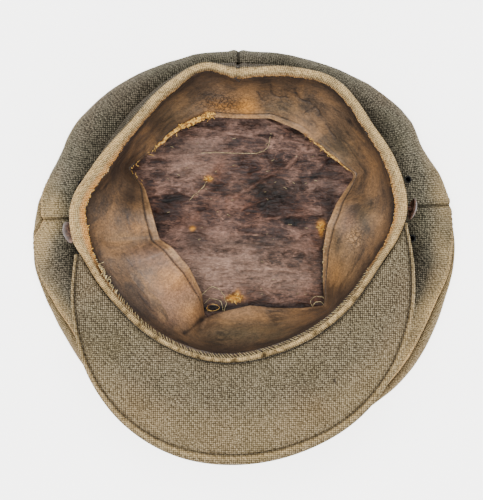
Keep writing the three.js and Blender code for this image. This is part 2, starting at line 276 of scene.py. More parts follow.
# Makes a piece from columns of corners, each column a closed outline. masks holds painted values, and flat a
# place in mm on the flat cloth for each corner. A closed piece with flat places gets its first column twice.
def piece(name, columns, material, slot, stands, closed=True, flat=None, masks=None, sharp=50, weld=False):
    if closed and flat:
        columns = columns[:-1]
        masks = {key: values[:-1] for key, values in masks.items()}
    count = len(columns[0])
    corners = [Vector(p) * mm for column in columns for p in column]
    faces, flats = [], []
    steps = len(columns) if closed else len(columns) - 1
    for i in range(steps):
        here, after = i * count, (i + 1) % len(columns) * count
        for j in range(count):
            k = (j + 1) % count
            faces.append((here + j, after + j, after + k, here + k))
            if flat:
                flats += [flat[i][j], flat[i + 1][j], flat[i + 1][k], flat[i][k]]
    if not closed:
        for j in range(count // 2 - 1):
            rung = (j, j + 1, count - 2 - j, count - 1 - j)
            last = (len(columns) - 1) * count
            faces.append(rung)
            faces.append(tuple(last + k for k in reversed(rung)))
            if flat:
                flats += [flat[0][k] for k in rung]
                flats += [flat[-1][k] for k in reversed(rung)]
    mesh = bpy.data.meshes.new(name)
    mesh.from_pydata(corners, [], faces)
    if flat:
        layer = mesh.uv_layers.new(name="cloth")
        layer.data.foreach_set("uv", [v * mm for pair in flats for v in pair])
    for key, values in (masks or {}).items():
        attribute = mesh.attributes.new(key, "FLOAT", "POINT")
        attribute.data.foreach_set("value", [v for column in values for v in column])
    return finishPiece(name, mesh, material, stands, sharp, weld)


# Adds one column to each mask, from rows that hold a corner's value for every mask in turn.
def paint(masks, rows):
    for key, values in zip(masks, zip(*rows)):
        masks[key].append(values)


# How strongly each kind of painted spot shows at a place. A spot is left out further away than far.
def spotsAt(x, y, spots, kinds, far):
    values = dict.fromkeys(kinds, 0.0)
    for spot in spots:
        dx, dy = (x - spot["x"]) / spot["wide"], (y - spot["y"]) / spot["tall"]
        if abs(dx) < far and abs(dy) < far:
            values[spot["kind"]] += spot["much"] * math.exp(-dx * dx - dy * dy)
    return values


def finishPiece(name, mesh, material, stands=(), sharp=50, weld=False):
    if weld:
        edit = bmesh.new()
        edit.from_mesh(mesh)
        bmesh.ops.remove_doubles(edit, verts=edit.verts, dist=1e-6)
        edit.to_mesh(mesh)
        edit.free()
    mesh.shade_smooth()
    mesh.set_sharp_from_angle(angle=math.radians(sharp))
    mesh.materials.append(material)
    made = bpy.data.objects.new(name, mesh)
    bpy.context.scene.collection.objects.link(made)
    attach(made, "root")
    if stands:
        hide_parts(*stands)
    return made


# Materials
def linear(code):
    parts = [int(code[i : i + 2], 16) / 255 for i in (1, 3, 5)]
    return (*[v / 12.92 if v <= 0.04045 else ((v + 0.055) / 1.055) ** 2.4 for v in parts], 1.0)


# Gives each input of a node its value, or another node's output.
def feed(tree, node, inputs):
    for socket, value in inputs.items():
        if isinstance(value, bpy.types.NodeSocket):
            tree.links.new(value, node.inputs[socket])
        else:
            node.inputs[socket].default_value = value


# Adds one node. settings are its properties.
def put(tree, kind, inputs=None, **settings):
    made = tree.nodes.new(kind)
    for key, value in settings.items():
        setattr(made, key, value)
    feed(tree, made, inputs or {})
    return made


def freshMaterial(name):
    material = bpy.data.materials.new(name)
    material.use_nodes = True
    tree = material.node_tree
    return material, tree, tree.nodes["Principled BSDF"]


def objectPlace(tree):
    return put(tree, "ShaderNodeTexCoord").outputs["Object"]


def clothPlace(tree):
    return put(tree, "ShaderNodeUVMap", uv_map="cloth").outputs[0]


def painted(tree, key):
    return put(tree, "ShaderNodeAttribute", attribute_name=key).outputs["Fac"]


def maths(tree, operation, *values, **settings):
    return put(tree, "ShaderNodeMath", dict(enumerate(values)), operation=operation, **settings).outputs[0]


# A part times its weight, on top of a base.
def added(tree, part, weight, base):
    return maths(tree, "MULTIPLY_ADD", part, weight, base)


# A value between low and high becomes one between first and last.
def spanned(tree, value, low, high, first, last):
    return put(tree, "ShaderNodeMapRange", {0: value, 1: low, 2: high, 3: first, 4: last}).outputs[0]


def mixed(tree, amount, under, over, blend="MIX"):
    inputs = {0: amount, 6: under, 7: over}
    return put(tree, "ShaderNodeMix", inputs, data_type="RGBA", blend_type=blend).outputs[2]


def scaled(tree, colour, by):
    return put(tree, "ShaderNodeVectorMath", {0: colour, "Scale": by}, operation="SCALE").outputs[0]


def noisy(tree, where, perM, detail, roughness=0.5, distortion=0.0):
    inputs = {"Vector": where, "Scale": perM, "Detail": detail, "Roughness": roughness}
    return put(tree, "ShaderNodeTexNoise", {**inputs, "Distortion": distortion}).outputs[0]


def cells(tree, where, sizeMm, randomness=1.0, feature="F1"):
    inputs = {"Vector": where, "Scale": 1 / (sizeMm * mm), "Randomness": randomness}
    return put(tree, "ShaderNodeTexVoronoi", inputs, feature=feature).outputs


def squeezed(tree, where, by, turnedBy=0):
    inputs = {"Vector": where, "Rotation": (0, 0, math.radians(turnedBy)), "Scale": by}
    return put(tree, "ShaderNodeMapping", inputs).outputs[0]


# A place that noise moves to and fro, so that a pattern laid there wanders.
def swayed(tree, place, where, perM, detail, reach):
    drift = put(tree, "ShaderNodeTexNoise", {"Vector": where, "Scale": perM, "Detail": detail})
    inputs = {0: drift.outputs["Color"], 1: reach, 2: place}
    return put(tree, "ShaderNodeVectorMath", inputs, operation="MULTIPLY_ADD").outputs[0]


def ramped(tree, value, *stops):
    ramp = put(tree, "ShaderNodeValToRGB", {0: value})
    elements = ramp.color_ramp.elements
    while len(elements) < len(stops):
        elements.new(0.5)
    for element, (place, code) in zip(elements, stops):
        element.position = place
        element.color = linear(code)
    return ramp.outputs[0]


def relief(tree, height, strength, depthM):
    inputs = {"Strength": strength, "Distance": depthM, "Height": height}
    return put(tree, "ShaderNodeBump", inputs).outputs[0]


# Fine grain: the colour a little lighter or darker from one small cell to the next.
def speckled(tree, where, colour, cellMm, depth, stretch):
    tint = cells(tree, squeezed(tree, where, (stretch, 1.0, 1.0)), cellMm)["Color"]
    own = put(tree, "ShaderNodeSeparateColor", {0: tint}).outputs[0]
    return scaled(tree, colour, spanned(tree, own, 0.0, 1.0, 1 - depth, 1 + depth))


# Lays inks over a colour where they are painted, broken up by a pattern that runs from low to high. least is
# what is left of an ink at the low end.
def inked(tree, colour, look, inks, pattern, low, high, least):
    for key, most in inks:
        broken = spanned(tree, pattern, low, high, least * most, 1.3 * most)
        amount = maths(tree, "MULTIPLY", painted(tree, key), broken, use_clamp=True)
        colour = mixed(tree, amount, colour, linear(look[key]))
    return colour


# Woollen serge in khaki drab, woven from mixed yarn and slightly felted: matte and heathery, each crossing of
# the yarns with its own light or dark tone, and a faint diagonal rib over them.
serge = dict(
    deep="#12110f",
    shade="#2e2c25",
    main="#534e42",
    light="#9d9581",
    olive="#5f6448",
    rosy="#8f7466",
    worn="#c88d4c",
    pale="#c5a672",
    dirtAndShade="#3a3630",
    yarnMm=1.22,  # real yarns cross about every 0.5 mm, drawn coarser so that they show
    ribMm=2.6,  # real ribs are about 0.9 mm apart, coarser for the same reason
    yarnsUneven=0.26,
    wanderPerM=90.0,
    wanderM=0.0016,
    blotchPerM=34.0,
    huePerM=24.0,
    fuzzPerM=900.0,
    nap=0.0007,  # how high the surface stands, in metres
)
waveSpacing = 0.444  # how far apart the diagonal bands of a wave texture lie at scale 1


def woolSerge(name, lift):
    material, tree, shader = freshMaterial(name)
    where = objectPlace(tree)
    reach = (serge["wanderM"], serge["wanderM"], 0.0)
    cloth = swayed(tree, clothPlace(tree), where, serge["wanderPerM"], 2.0, reach)
    perM = waveSpacing / (serge["ribMm"] * mm)
    rib = put(
        tree,
        "ShaderNodeTexWave",
        {"Vector": cloth, "Scale": perM, "Distortion": 1.2, "Detail": 1.0},
        bands_direction="DIAGONAL",
    ).outputs["Fac"]
    yarns = cells(tree, cloth, serge["yarnMm"], serge["yarnsUneven"])
    own = put(tree, "ShaderNodeSeparateColor", {0: yarns["Color"]}).outputs[0]
    hump = spanned(tree, yarns["Distance"], 0.1, 0.6, 1.0, 0.0)
    blotch = noisy(tree, where, serge["blotchPerM"], 4.0, 0.6)
    level = 0.21 + lift
    for part, weight in ((own, 0.13), (hump, 0.5), (rib, 0.07), (blotch, 0.12)):
        level = added(tree, part, weight, level)
    stops = ((0.3, "deep"), (0.43, "shade"), (0.6, "main"), (0.9, "light"))
    colour = ramped(tree, level, *[(place, serge[key]) for place, key in stops])
    # broad drifts of olive and of a rosy brown
    hue = put(
        tree,
        "ShaderNodeTexNoise",
        {"Vector": where, "Scale": serge["huePerM"], "Detail": 3.0, "W": 2.0},
        noise_dimensions="4D",
    ).outputs[0]
    for key, low, high in (("olive", 0.42, 0.66), ("rosy", 0.52, 0.3)):
        amount = spanned(tree, hue, low, high, 0.0, 0.45)
        colour = mixed(tree, amount, colour, linear(serge[key]), "SOFT_LIGHT")
    # painted marks, the weave still showing through: pale, which is rubbed wear and, on the side panels'
    # outer parts, painted light;
    #     # worn to the brown of the yarn; and dark, which is dirt along seams and painted shade beside the
    #     band, under the rim and at the peak's root
    shade = spanned(tree, level, 0.36, 0.78, 0.35, 1.4)
    for key, most in (("pale", 0.8), ("worn", 0.85)):
        amount = maths(tree, "MULTIPLY", painted(tree, key), most, use_clamp=True)
        colour = mixed(tree, amount, colour, scaled(tree, linear(serge[key])[:3], shade))
    # the dark ink: dirt, and painted shade where parts of the cap shade each other
    amount = maths(tree, "MULTIPLY", painted(tree, "dirtAndShade"), 0.9, use_clamp=True)
    colour = mixed(tree, amount, colour, linear(serge["dirtAndShade"]), "MULTIPLY")
    surface = added(tree, noisy(tree, where, serge["fuzzPerM"], 3.0), 0.4, level)
    look = {"Base Color": colour, "Normal": relief(tree, surface, 0.8, serge["nap"]), "Roughness": 0.93}
    look.update({"IOR": 1.5, "Specular IOR Level": 0.04, "Sheen Weight": 0.02, "Sheen Roughness": 0.45})
    feed(tree, shader, {**look, "Sheen Tint": linear("#a08c66")})
    return material


# Bark-tanned sheepskin, long worn: brown with a soft gloss on the high parts, dark where sweat has soaked in,
# # and paler and orange where the finish has rubbed off. Its dark stain ink also carries painted shade by the
# sewn edge, in the
# # groove inside the bound edge and in hollows, and a few rosy and rubbed spots are painted highlights.
leather = dict(
    dark="#2b211b",
    main="#574433",
    light="#8a6642",
    olive="#4d4530",
    ochre="#cc8a3a",
    rosy="#8a6656",
    stain="#17110f",
    rubbed="#a07a50",
    poreMm=0.9,
    crackMm=2.4,
    crackWide=0.13,  # as a share of the plates between the cracks
    grainMm=0.9,  # real grain is about 0.5 mm, coarser so that it shows
    wrinkleMm=5.0,
    cloudPerM=42.0,
    wanderPerM=160.0,
    wanderM=0.004,
)


def barkTannedLeather():
    material, tree, shader = freshMaterial("bark_tanned_leather")
    where = objectPlace(tree)
    cloud = noisy(tree, where, leather["cloudPerM"], 6.0, 0.62, 0.6)
    colour = ramped(tree, cloud, (0.36, leather["dark"]), (0.5, leather["main"]), (0.65, leather["light"]))
    pore = cells(tree, where, leather["poreMm"])["Distance"]
    wandering = swayed(tree, where, where, leather["wanderPerM"], 3.0, [leather["wanderM"]] * 3)
    toCrack = cells(tree, wandering, leather["crackMm"], feature="DISTANCE_TO_EDGE")["Distance"]
    crack = spanned(tree, toCrack, 0.0, leather["crackWide"], 1.0, 0.0)
    cracked = maths(tree, "MULTIPLY", crack, painted(tree, "cracked"))
    # long fine wrinkles that follow the band round
    strip = squeezed(tree, clothPlace(tree), (0.3, 1.0, 1.0))
    streak = noisy(tree, strip, 1 / (leather["wrinkleMm"] * mm), 6.0, 0.68, 0.5)
    colour = mixed(tree, spanned(tree, streak, 0.42, 0.66, 0.0, 0.6), colour, linear(leather["light"]))
    inks = (("olive", 0.6), ("rosy", 0.7), ("rubbed", 0.8), ("ochre", 0.95), ("stain", 0.85))
    colour = inked(tree, colour, leather, inks, streak, 0.3, 0.7, 0.55)
    colour = mixed(tree, maths(tree, "MULTIPLY", cracked, 0.85), colour, linear(leather["stain"]))
    colour = speckled(tree, where, colour, leather["grainMm"], 0.3, 0.7)
    height = added(tree, cracked, -1.2, added(tree, pore, 0.35, streak))
    gloss = spanned(tree, streak, 0.3, 0.7, 0.46, 0.68)
    bumps = relief(tree, height, 0.6, 0.0005)
    feed(tree, shader, {"Base Color": colour, "Normal": bumps, "Roughness": gloss, "IOR": 1.5})
    return material


# Oilcloth: thin cotton with a coat of boiled oil, creased all over. Its coat is dull. Its colour is darkest
# in the creases
# # and a pinkish grey on the ridges: part dirt and rubbed wear, part painted shade and painted light.
oilcloth = dict(
    dark="#100b0a",
    main="#46312a",
    ridge="#977464",
    umber="#6b4a30",
    ochre="#d8912f",
    mould="#33352e",
    bloom="#a88774",
    foldMm=11.0,
    threadMm=0.9,  # the cotton under the coat has threads about 0.4 mm apart, coarser so that they show
    fibrePerM=480.0,
    blotPerM=48.0,
    huePerM=27.0,
    wanderPerM=60.0,
    wanderM=(0.016, 0.007, 0.0),
)


def creasedOilcloth():
    material, tree, shader = freshMaterial("creased_oilcloth")
    where = objectPlace(tree)
    fibre = noisy(tree, squeezed(tree, where, (0.45, 1.2, 1.0)), oilcloth["fibrePerM"], 5.0, 0.75)
    blot = noisy(tree, where, oilcloth["blotPerM"], 5.0, 0.6, 0.8)
    # sharp creases: flat facets that meet in long ridges, larger and smaller, the colour paler on the ridges
    # and darker in the facets' middles: painted light and shade
    bent = swayed(tree, where, where, oilcloth["wanderPerM"], 3.0, oilcloth["wanderM"])
    facets, lines, shadedSides = 0.0, 0.0, 0.0
    for turnedBy, stretch, size, weight in ((4, 0.28, 1.0, 0.5), (-34, 0.4, 0.75, 0.32), (12, 0.3, 0.4, 0.3)):
        place = squeezed(tree, bent, (stretch, 1.0, 0.2), turnedBy)
        sizeMm = oilcloth["foldMm"] * size
        facets = added(tree, cells(tree, place, sizeMm)["Distance"], weight, facets)
        toEdge = cells(tree, place, sizeMm, feature="DISTANCE_TO_EDGE")["Distance"]
        lines = maths(tree, "MAXIMUM", spanned(tree, toEdge, 0.0, 0.045, 0.6 * weight, 0.0), lines)
    # the painted ridge value lightens the crests of the crumpled lining and darkens its valleys: painted
    # light and shade
    level = maths(tree, "ADD", painted(tree, "ridge"), added(tree, facets, 0.55, -0.32))
    level = maths(tree, "ADD", level, added(tree, fibre, 1.0, -0.5))
    # finer lines, painted pale, each with painted shade on one side
    for turnedBy, stretch in ((4, 0.2), (-38, 0.3), (16, 0.25)):
        place = squeezed(tree, where, (stretch, 1.0, 1.0), turnedBy)
        field = noisy(tree, place, 1 / (oilcloth["foldMm"] * mm), 4.0, 0.55)
        away = maths(tree, "SUBTRACT", field, 0.5)
        line = spanned(tree, maths(tree, "ABSOLUTE", away), 0.0, 0.011, 0.4, 0.0)
        lines = maths(tree, "MAXIMUM", line, lines)
        nearSide = spanned(tree, away, 0.012, 0.034, 0.0, 1.0)
        farSide = spanned(tree, away, 0.034, 0.09, 1.0, 0.0)
        shadedSides = added(tree, nearSide, farSide, shadedSides)
    level = added(tree, lines, spanned(tree, blot, 0.45, 0.6, 0.0, 1.0), level)
    level = maths(tree, "ADD", added(tree, shadedSides, -0.12, 0.05), level)
    tone = maths(tree, "ADD", level, added(tree, blot, 0.5, -0.25))
    colour = ramped(tree, tone, (0.1, oilcloth["dark"]), (0.42, oilcloth["main"]), (0.9, oilcloth["ridge"]))
    browner = spanned(tree, noisy(tree, where, oilcloth["huePerM"], 3.0), 0.46, 0.64, 0.0, 0.8)
    colour = mixed(tree, browner, colour, linear(oilcloth["umber"]), "OVERLAY")
    # the dark ink is painted shadow from the leather's edge
    inks = (("bloom", 0.75), ("mould", 0.6), ("dark", 0.85), ("ochre", 1.0))
    colour = inked(tree, colour, oilcloth, inks, level, 0.1, 0.8, 0.3)
    colour = speckled(tree, where, colour, oilcloth["threadMm"], 0.3, 0.6)
    surface = added(tree, lines, 1.0, added(tree, facets, 3.5, fibre))
    gloss = spanned(tree, blot, 0.35, 0.65, 0.42, 0.62)
    bumps = relief(tree, surface, 0.9, 0.0012)
    feed(tree, shader, {"Base Color": colour, "Normal": bumps, "Roughness": gloss, "IOR": 1.48})
    return material


# A plain material whose one fine pattern gives its tones and its relief.
def grained(name, perM, detail, strength, depthM, *stops):
    material, tree, shader = freshMaterial(name)
    grain = noisy(tree, objectPlace(tree), perM, detail)
    colour = ramped(tree, grain, *stops)
    feed(tree, shader, {"Base Color": colour, "Normal": relief(tree, grain, strength, depthM)})
    return material, tree, shader, grain


# Gilding metal browned by age: a warm brown metal with a satin shine, duller in the hollows.
def brownedBronze():
    stops = ((0.3, "#20140f"), (0.55, "#443026"), (0.75, "#7a5a48"))
    material, tree, shader, patch = grained("browned_bronze", 420.0, 4.0, 0.3, 0.0002, *stops)
    gloss = spanned(tree, patch, 0.3, 0.7, 0.42, 0.6)
    feed(tree, shader, {"Roughness": gloss, "Metallic": 0.3, "Specular IOR Level": 0.1})
    return material


# Japanned brass eyelets: black lacquer, almost matte, with brass just showing on the rolled lip.
def japannedBrass():
    stops = ((0.6, "#0b0a0a"), (0.72, "#151312"), (0.82, "#3c3020"))
    material, tree, shader, _ = grained("japanned_brass", 900.0, 3.0, 0.3, 0.0001, *stops)
    feed(tree, shader, {"Roughness": 0.55, "Specular IOR Level": 0.15})
    return material


# Linen sewing thread, waxed: fine, slightly shiny, in the colour it was dyed or has faded to.
def linenThread(name, dark, light):
    material, tree, shader, _ = grained(name, 700.0, 2.0, 0.5, 0.0002, (0.4, dark), (0.6, light))
    feed(tree, shader, {"Roughness": 0.7})
    return material


sergeMaterial = woolSerge("wool_serge", 0.03)
peakMaterial = woolSerge("wool_serge_peak", 0.008)
leatherMaterial = barkTannedLeather()
liningMaterial = creasedOilcloth()
bronzeMaterial = brownedBronze()
eyeletMaterial = japannedBrass()
ochreThread = linenThread("linen_thread_ochre", "#7d4d1d", "#ecbc5e")
paleThread = linenThread("linen_thread_pale", "#8d7a56", "#d6c28f")
darkThread = linenThread("linen_thread_dark", "#1c1613", "#3a2d25")
clothThread = linenThread("linen_thread_khaki", "#3d3529", "#5e5443")
print("trench cap: materials made")

# Crown and side panels
body = dict(
    wall=2.0,
    edgeRound=20.0,
    edgeUp=14.0,
    shoulder=10.0,
    crest=2.0,
    crestShare=0.42,
    seamDip=1.0,  # how deep the cloth dips into a seam
    seamRidge=0.6,  # the turned-back allowance showing beside it
    dents=1.5,
)
foot = dict(across=188.0, along=194.0, up=38.0, below=2.5)
bandSize = dict(wall=3.2, belly=1.2, rollDrop=5.0)
gap = 0.3
halfSeam = gap / 2 / body["edgeRound"]

# The side panels, each from one seam to the next.
panels = table(
    "name low high",
    ("quarter_back_right", 3.0, 90.0),
    ("quarter_back_left", 90.0, 181.0),
    ("quarter_front_left", 181.0, 270.0),
    ("quarter_front_right", 270.0, 363.0),
)


@lru_cache(maxsize=None)
def footReach(angle):
    c, s = heading(angle)
    return 1 / math.hypot(c / (foot["across"] / 2), s / (foot["along"] / 2))


def bandFace(angle, share):
    belly = bandSize["belly"] * math.sin(share * math.pi)
    return (
        mix(footReach(angle), rimReach(angle), share) + belly,
        mix(foot["up"] - foot["below"], rimUp(angle), share),
    )


def shell(angle, share):
    reach = crownReach(angle)
    if share <= 1:
        turn = share * math.pi / 2
        return (
            reach - body["edgeRound"] * (1 - math.sin(turn)),
            body["edgeUp"] * (1 - math.cos(turn)),
        )
    footShare = foot["below"] / (rimUp(angle) - foot["up"] + foot["below"])
    top = bandFace(angle, footShare)[0] + gap
    return cubic(
        (
            (reach, body["edgeUp"]),
            (reach, body["edgeUp"] + body["shoulder"]),
            (mix(top, reach, body["crestShare"]), foot["up"] + body["crest"]),
            (top, foot["up"]),
        ),
        share - 1,
    )


# Soft dents and folds of the side panels: a line from one place to another, how wide, and how deep (negative
# is a raised fold).
panelFolds = table(
    "x0 y0 x1 y1 wide deep",
    (-128, 34, -112, 62, 7, 1.8),
    (-100, 92, -72, 108, 8, 1.2),
    (-118, 4, -126, -18, 6, -1.2),
    (104, 82, 122, 58, 8, 1.4),
    (112, 30, 128, 36, 5, 1.0),
    (118, -8, 132, -20, 7, -1.0),
    (-60, 118, -40, 122, 6, 0.8),
    (40, 118, 70, 110, 8, 0.9),
)


def foldDepth(x, y, folds):
    total = 0.0
    for f in folds:
        run = (f["x1"] - f["x0"], f["y1"] - f["y0"])
        along = ((x - f["x0"]) * run[0] + (y - f["y0"]) * run[1]) / (run[0] ** 2 + run[1] ** 2)
        near = min(1.0, max(0.0, along))
        away = math.hypot(x - f["x0"] - run[0] * near, y - f["y0"] - run[1] * near)
        if away < 2.5 * f["wide"]:
            total += f["deep"] * bump(away, f["wide"])
    return total


# How deep the cloth lies under its plain shape at a place, in mm.
def clothDepth(x, y, up, toSeams, toFoot):
    depth = body["dents"] * rough(x, y, up, 38, 2)
    depth += foldDepth(x, y, panelFolds)
    depth *= ease(0, 9, min(toSeams)) * 0.8 + 0.2
    depth *= ease(-1, 7, toFoot) * 0.9 + 0.1
    for distance, dip in zip(toSeams, (1.0, 0.5, 0.5)):
        depth += dip * body["seamDip"] * bump(distance, 0.9)
        depth -= body["seamRidge"] * bump(distance - 3.4, 1.7)
        depth += 0.22 * rough(x, y, up, 5.5) * bump(distance - 2, 5)
    depth += (0.35 * rough(x, y, up, 8) + 0.25) * bump(toFoot, 5)
    return depth + 0.12 * rough(x, y, up, 3.2)


@lru_cache(maxsize=None)
def shellLengths(angle):
    return lengthsAlong([shell(angle, s) for s in spread(0, 2, 80)])


def lengthTo(angle, share):
    lengths = shellLengths(angle)
    k = min(79, int(share * 40))
    return mix(lengths[k], lengths[k + 1], share * 40 - k)


# The outer face of a side panel between two seams: its place, its depth under the plain shape, and how far it
# is from the crown seam, the side seams and the band's foot.
def panelFace(angle, share, low, high):
    reach, up = shell(angle, share)
    toCrown = lengthTo(angle, share) - lengthTo(angle, crownSeam(angle))
    toFoot = lengthTo(angle, 2) - lengthTo(angle, share)
    sides = [abs(math.radians(angle - edge)) * reach for edge in (low, high)]
    x, y, _ = onSpoke(angle, reach, up)
    # a panel dips where it goes under the one before it
    depth = clothDepth(x, y, up, [toCrown, *sides], toFoot) + 0.9 * ease(0.0, 0.3, low - angle)
    return offset(lambda t: shell(angle, t), share, depth), depth, toCrown, min(sides), toFoot


vents = table(
    "name at share",
    ("vent_right_back", 12, 1.7),
    ("vent_right_front", 352.5, 1.73),
    ("vent_left_back", 168.5, 1.83),
    ("vent_left_front", 193, 1.85),
)


def shellPoint(angle, share):
    return Vector(onSpoke(angle, *shell(angle, share)))


def shellNormal(angle, share):
    up = shellPoint(angle, share + 0.02) - shellPoint(angle, share - 0.02)
    aside = shellPoint(angle + 1, share) - shellPoint(angle - 1, share)
    return aside.cross(up).normalized()


# Cuts round holes through a panel where its eyelets go.
def pierce(panel, spots, reach=1.8, sides=24):
    for spot in spots:
        place, aim = shellPoint(spot["at"], spot["share"]), shellNormal(spot["at"], spot["share"])
        side = aim.orthogonal().normalized()
        other = aim.cross(side)
        ring = [2 * math.pi * k / sides for k in range(sides)]
        ends = [
            (place + side * reach * math.cos(a) + other * reach * math.sin(a) + aim * far) * mm
            for far in (-7, 7)
            for a in ring
        ]
        walls = [(k, (k + 1) % sides, sides + (k + 1) % sides, sides + k) for k in range(sides)]
        drill = bpy.data.meshes.new("drill")
        drill.from_pydata(ends, [], walls + [tuple(reversed(range(sides))), tuple(range(sides, 2 * sides))])
        cutter = bpy.data.objects.new("drill", drill)
        bpy.context.scene.collection.objects.link(cutter)
        cut = panel.modifiers.new("hole", "BOOLEAN")
        cut.operation, cut.solver, cut.object = "DIFFERENCE", "EXACT", cutter
        graph = bpy.context.evaluated_depsgraph_get()
        pierced = bpy.data.meshes.new_from_object(panel.evaluated_get(graph))
        panel.modifiers.clear()
        panel.data = pierced
        bpy.data.objects.remove(cutter)
    return panel


# How much painted shade darkens the side panels beside the band, how far up that reaches, how much paler they
# grow towards the outer edge (part rubbed wear, part painted light), and from where.
panelTintRows = table(
    "at dirt wide rub start",
    (0, 1.0, 12, 0.6, 24),
    (16, 1.0, 13, 0.5, 26),
    (40, 0.85, 16, 0.4, 28),
    (60, 0.7, 13, 0.5, 26),
    (76, 0.6, 12, 0.62, 24),
    (90, 0.4, 9, 0.6, 22),
    (112, 0.55, 12, 0.62, 24),
    (140, 0.5, 14, 0.62, 24),
    (165, 0.6, 12, 0.62, 24),
    (178, 0.85, 7, 0.85, 9),
    (192, 1.2, 15, 0.62, 22),
    (206, 1.3, 18, 0.75, 24),
    (320, 1.1, 17, 0.75, 26),
    (345, 1.2, 28, 1.3, 30),
)
panelTintAt = [smooth(panelTintRows, column) for column in ("dirt", "wide", "rub", "start")]


def sidePanel(name, low, high):
    trim, rows = 0.08, 46
    steps = round((high - low) * 1.25)
    columns, flat, masks = [], [], {"pale": [], "dirtAndShade": [], "worn": []}
    for angle in [low - 0.6, low - 0.15] + spread(low + trim, high - trim, steps):
        dirt, wide, rub, start = (at(angle) for at in panelTintAt)
        outside, inside, spots, tints = [], [], [], []
        for s in spread(crownSeam(angle) + halfSeam, 2, rows):
            place, depth, toCrown, toSide, toFoot = panelFace(angle, s, low, high)
            outside.append(place)
            inside.append(offset(lambda t: shell(angle, t), s, max(depth, 0) + body["wall"]))
            spots.append(onSpoke(angle, footReach(angle) + toFoot, 0)[:2])
            x, y, _ = onSpoke(angle, *place)
            drift = 0.5 + 0.9 * rough(x, y, place[1], 30, 2)
            # paler outwards, part rubbed wear and part painted light; a pale line beside the crown seam
            pale = rub * ease(start, start + 18, toFoot) * drift + 0.3 * bump(toCrown - 3, 2)
            # painted shade beside the band's foot, and dark lines along the seams
            dirtAndShade = dirt * bump(max(0, toFoot - 4), wide) + 0.85 * bump(min(toCrown, toSide), 1.0)
            worn = 0.35 * bump(toCrown - 1.5, 1.6) * max(0.0, drift)
            tints.append((min(1.0, pale), min(1.0, dirtAndShade), worn))
        columns.append([onSpoke(angle, *p) for p in outside + inside[::-1]])
        flat.append(spots + spots[::-1])
        paint(masks, tints + tints[::-1])
    made = piece(name, columns, sergeMaterial, "khaki_wool", [name], closed=False, flat=flat, masks=masks)
    return pierce(made, [v for v in vents if low < v["at"] < high or low < v["at"] + 360 < high])


def crownPanel():
    flatSteps, edgeSteps = 16, 18
    columns, flat, masks = [], [], {"pale": [], "dirtAndShade": []}
    for angle in spread(0, 360, 300):
        start = shell(angle, 0)[0]
        outside, inside, tints = [], [], []
        for k in spread(0, 1, flatSteps)[:-1]:
            x, y, _ = onSpoke(angle, start * k, 0)
            lift = (0.5 + 0.5 * rough(x, y, 0, 30, 2)) * ease(0.0, 0.12, 1 - k)
            outside.append((start * k, lift))
            inside.append((start * k, lift + body["wall"]))
            tints.append((0.2, 0.0))
        shares = spread(0, crownSeam(angle) - halfSeam, edgeSteps)
        plain = [shell(angle, s) for s in shares]
        lengths = lengthsAlong(plain)
        for s, (reach, up), length in zip(shares, plain, lengths):
            x, y, _ = onSpoke(angle, reach, up)
            toSeam = lengths[-1] - length
            depth = ease(1, 8, up) * body["dents"] * 0.6 * rough(x, y, up, 26, 2)
            depth += body["seamDip"] * bump(toSeam, 1.1) - body["seamRidge"] * bump(toSeam - 3.0, 1.5)
            depth = max(depth, -up * 0.3)
            if s == 0:
                outside.append((reach, 0.0))
                inside.append((reach, body["wall"]))
            else:
                outside.append(offset(lambda t: shell(angle, t), s, depth))
                inside.append(offset(lambda t: shell(angle, t), s, max(depth, 0) + body["wall"]))
            tints.append((0.3 + 0.2 * bump(toSeam, 3), 0.8 * bump(toSeam, 1.1)))
        spots = [onSpoke(angle, far, 0)[:2] for far in lengthsAlong(outside)]
        columns.append([onSpoke(angle, *p) for p in outside + inside[::-1]])
        flat.append(spots + spots[::-1])
        paint(masks, tints + tints[::-1])
    made = ("crown_panel", columns, sergeMaterial, "khaki_wool", ["crown_top"])
    return piece(*made, flat=flat, masks=masks, weld=True)


crownPanel()
for panel in panels:
    sidePanel(panel["name"], panel["low"], panel["high"])
print("trench cap: crown and side panels made")


# Band: the upright wall, its rolled rim and the cloth turned in over the sweatband, with its join at the
# back. sewn is how far the turned-in cloth is taken up by the dark, whipped edge of the leather.
sewnRows = table(
    "at sewn",
    (0, 0.0),
    (60, 0.1),
    (90, 0.2),
    (130, 0.25),
    (160, 0.1),
    (190, 0.0),
    (205, 0.5),
    (225, 1.0),
    (270, 1.0),
    (315, 1.0),
    (338, 0.5),
)
rimSewn = smooth(sewnRows, "sewn")
stitchShare = 0.86  # where the row of stitching under the rim runs, as a share of the band's height
tearAt = 202  # the angle of a torn place in the turned-in cloth


def rimSection(angle):
    rim, turn, up = rimReach(angle), rimTurn(angle), rimUp(angle)
    x, y, _ = onSpoke(angle, rim, 0)
    join = abs(math.radians((angle - 90 + 180) % 360 - 180)) * rim
    pucker = 0.2 * rough(x, y, 0, 4.5) + 0.35 * rough(x, y, 5, 17)
    fold = (rim, up - 3.0)
    crest = (rim - min(3.0, 0.62 * turn), up + pucker * 0.5 - 0.7 * bump(join, 1.3))
    ragged = 0.75 * rough(x, y, 3, 2.2) + 0.6 * rough(x, y, 7, 9) + 0.5 * max(0.0, rough(x, y, 11, 1.1))
    edge = (rim - turn - ragged * (1 - 0.6 * rimSewn(angle)), up - bandSize["rollDrop"] + 0.9)
    return fold, crest, edge, pucker, join


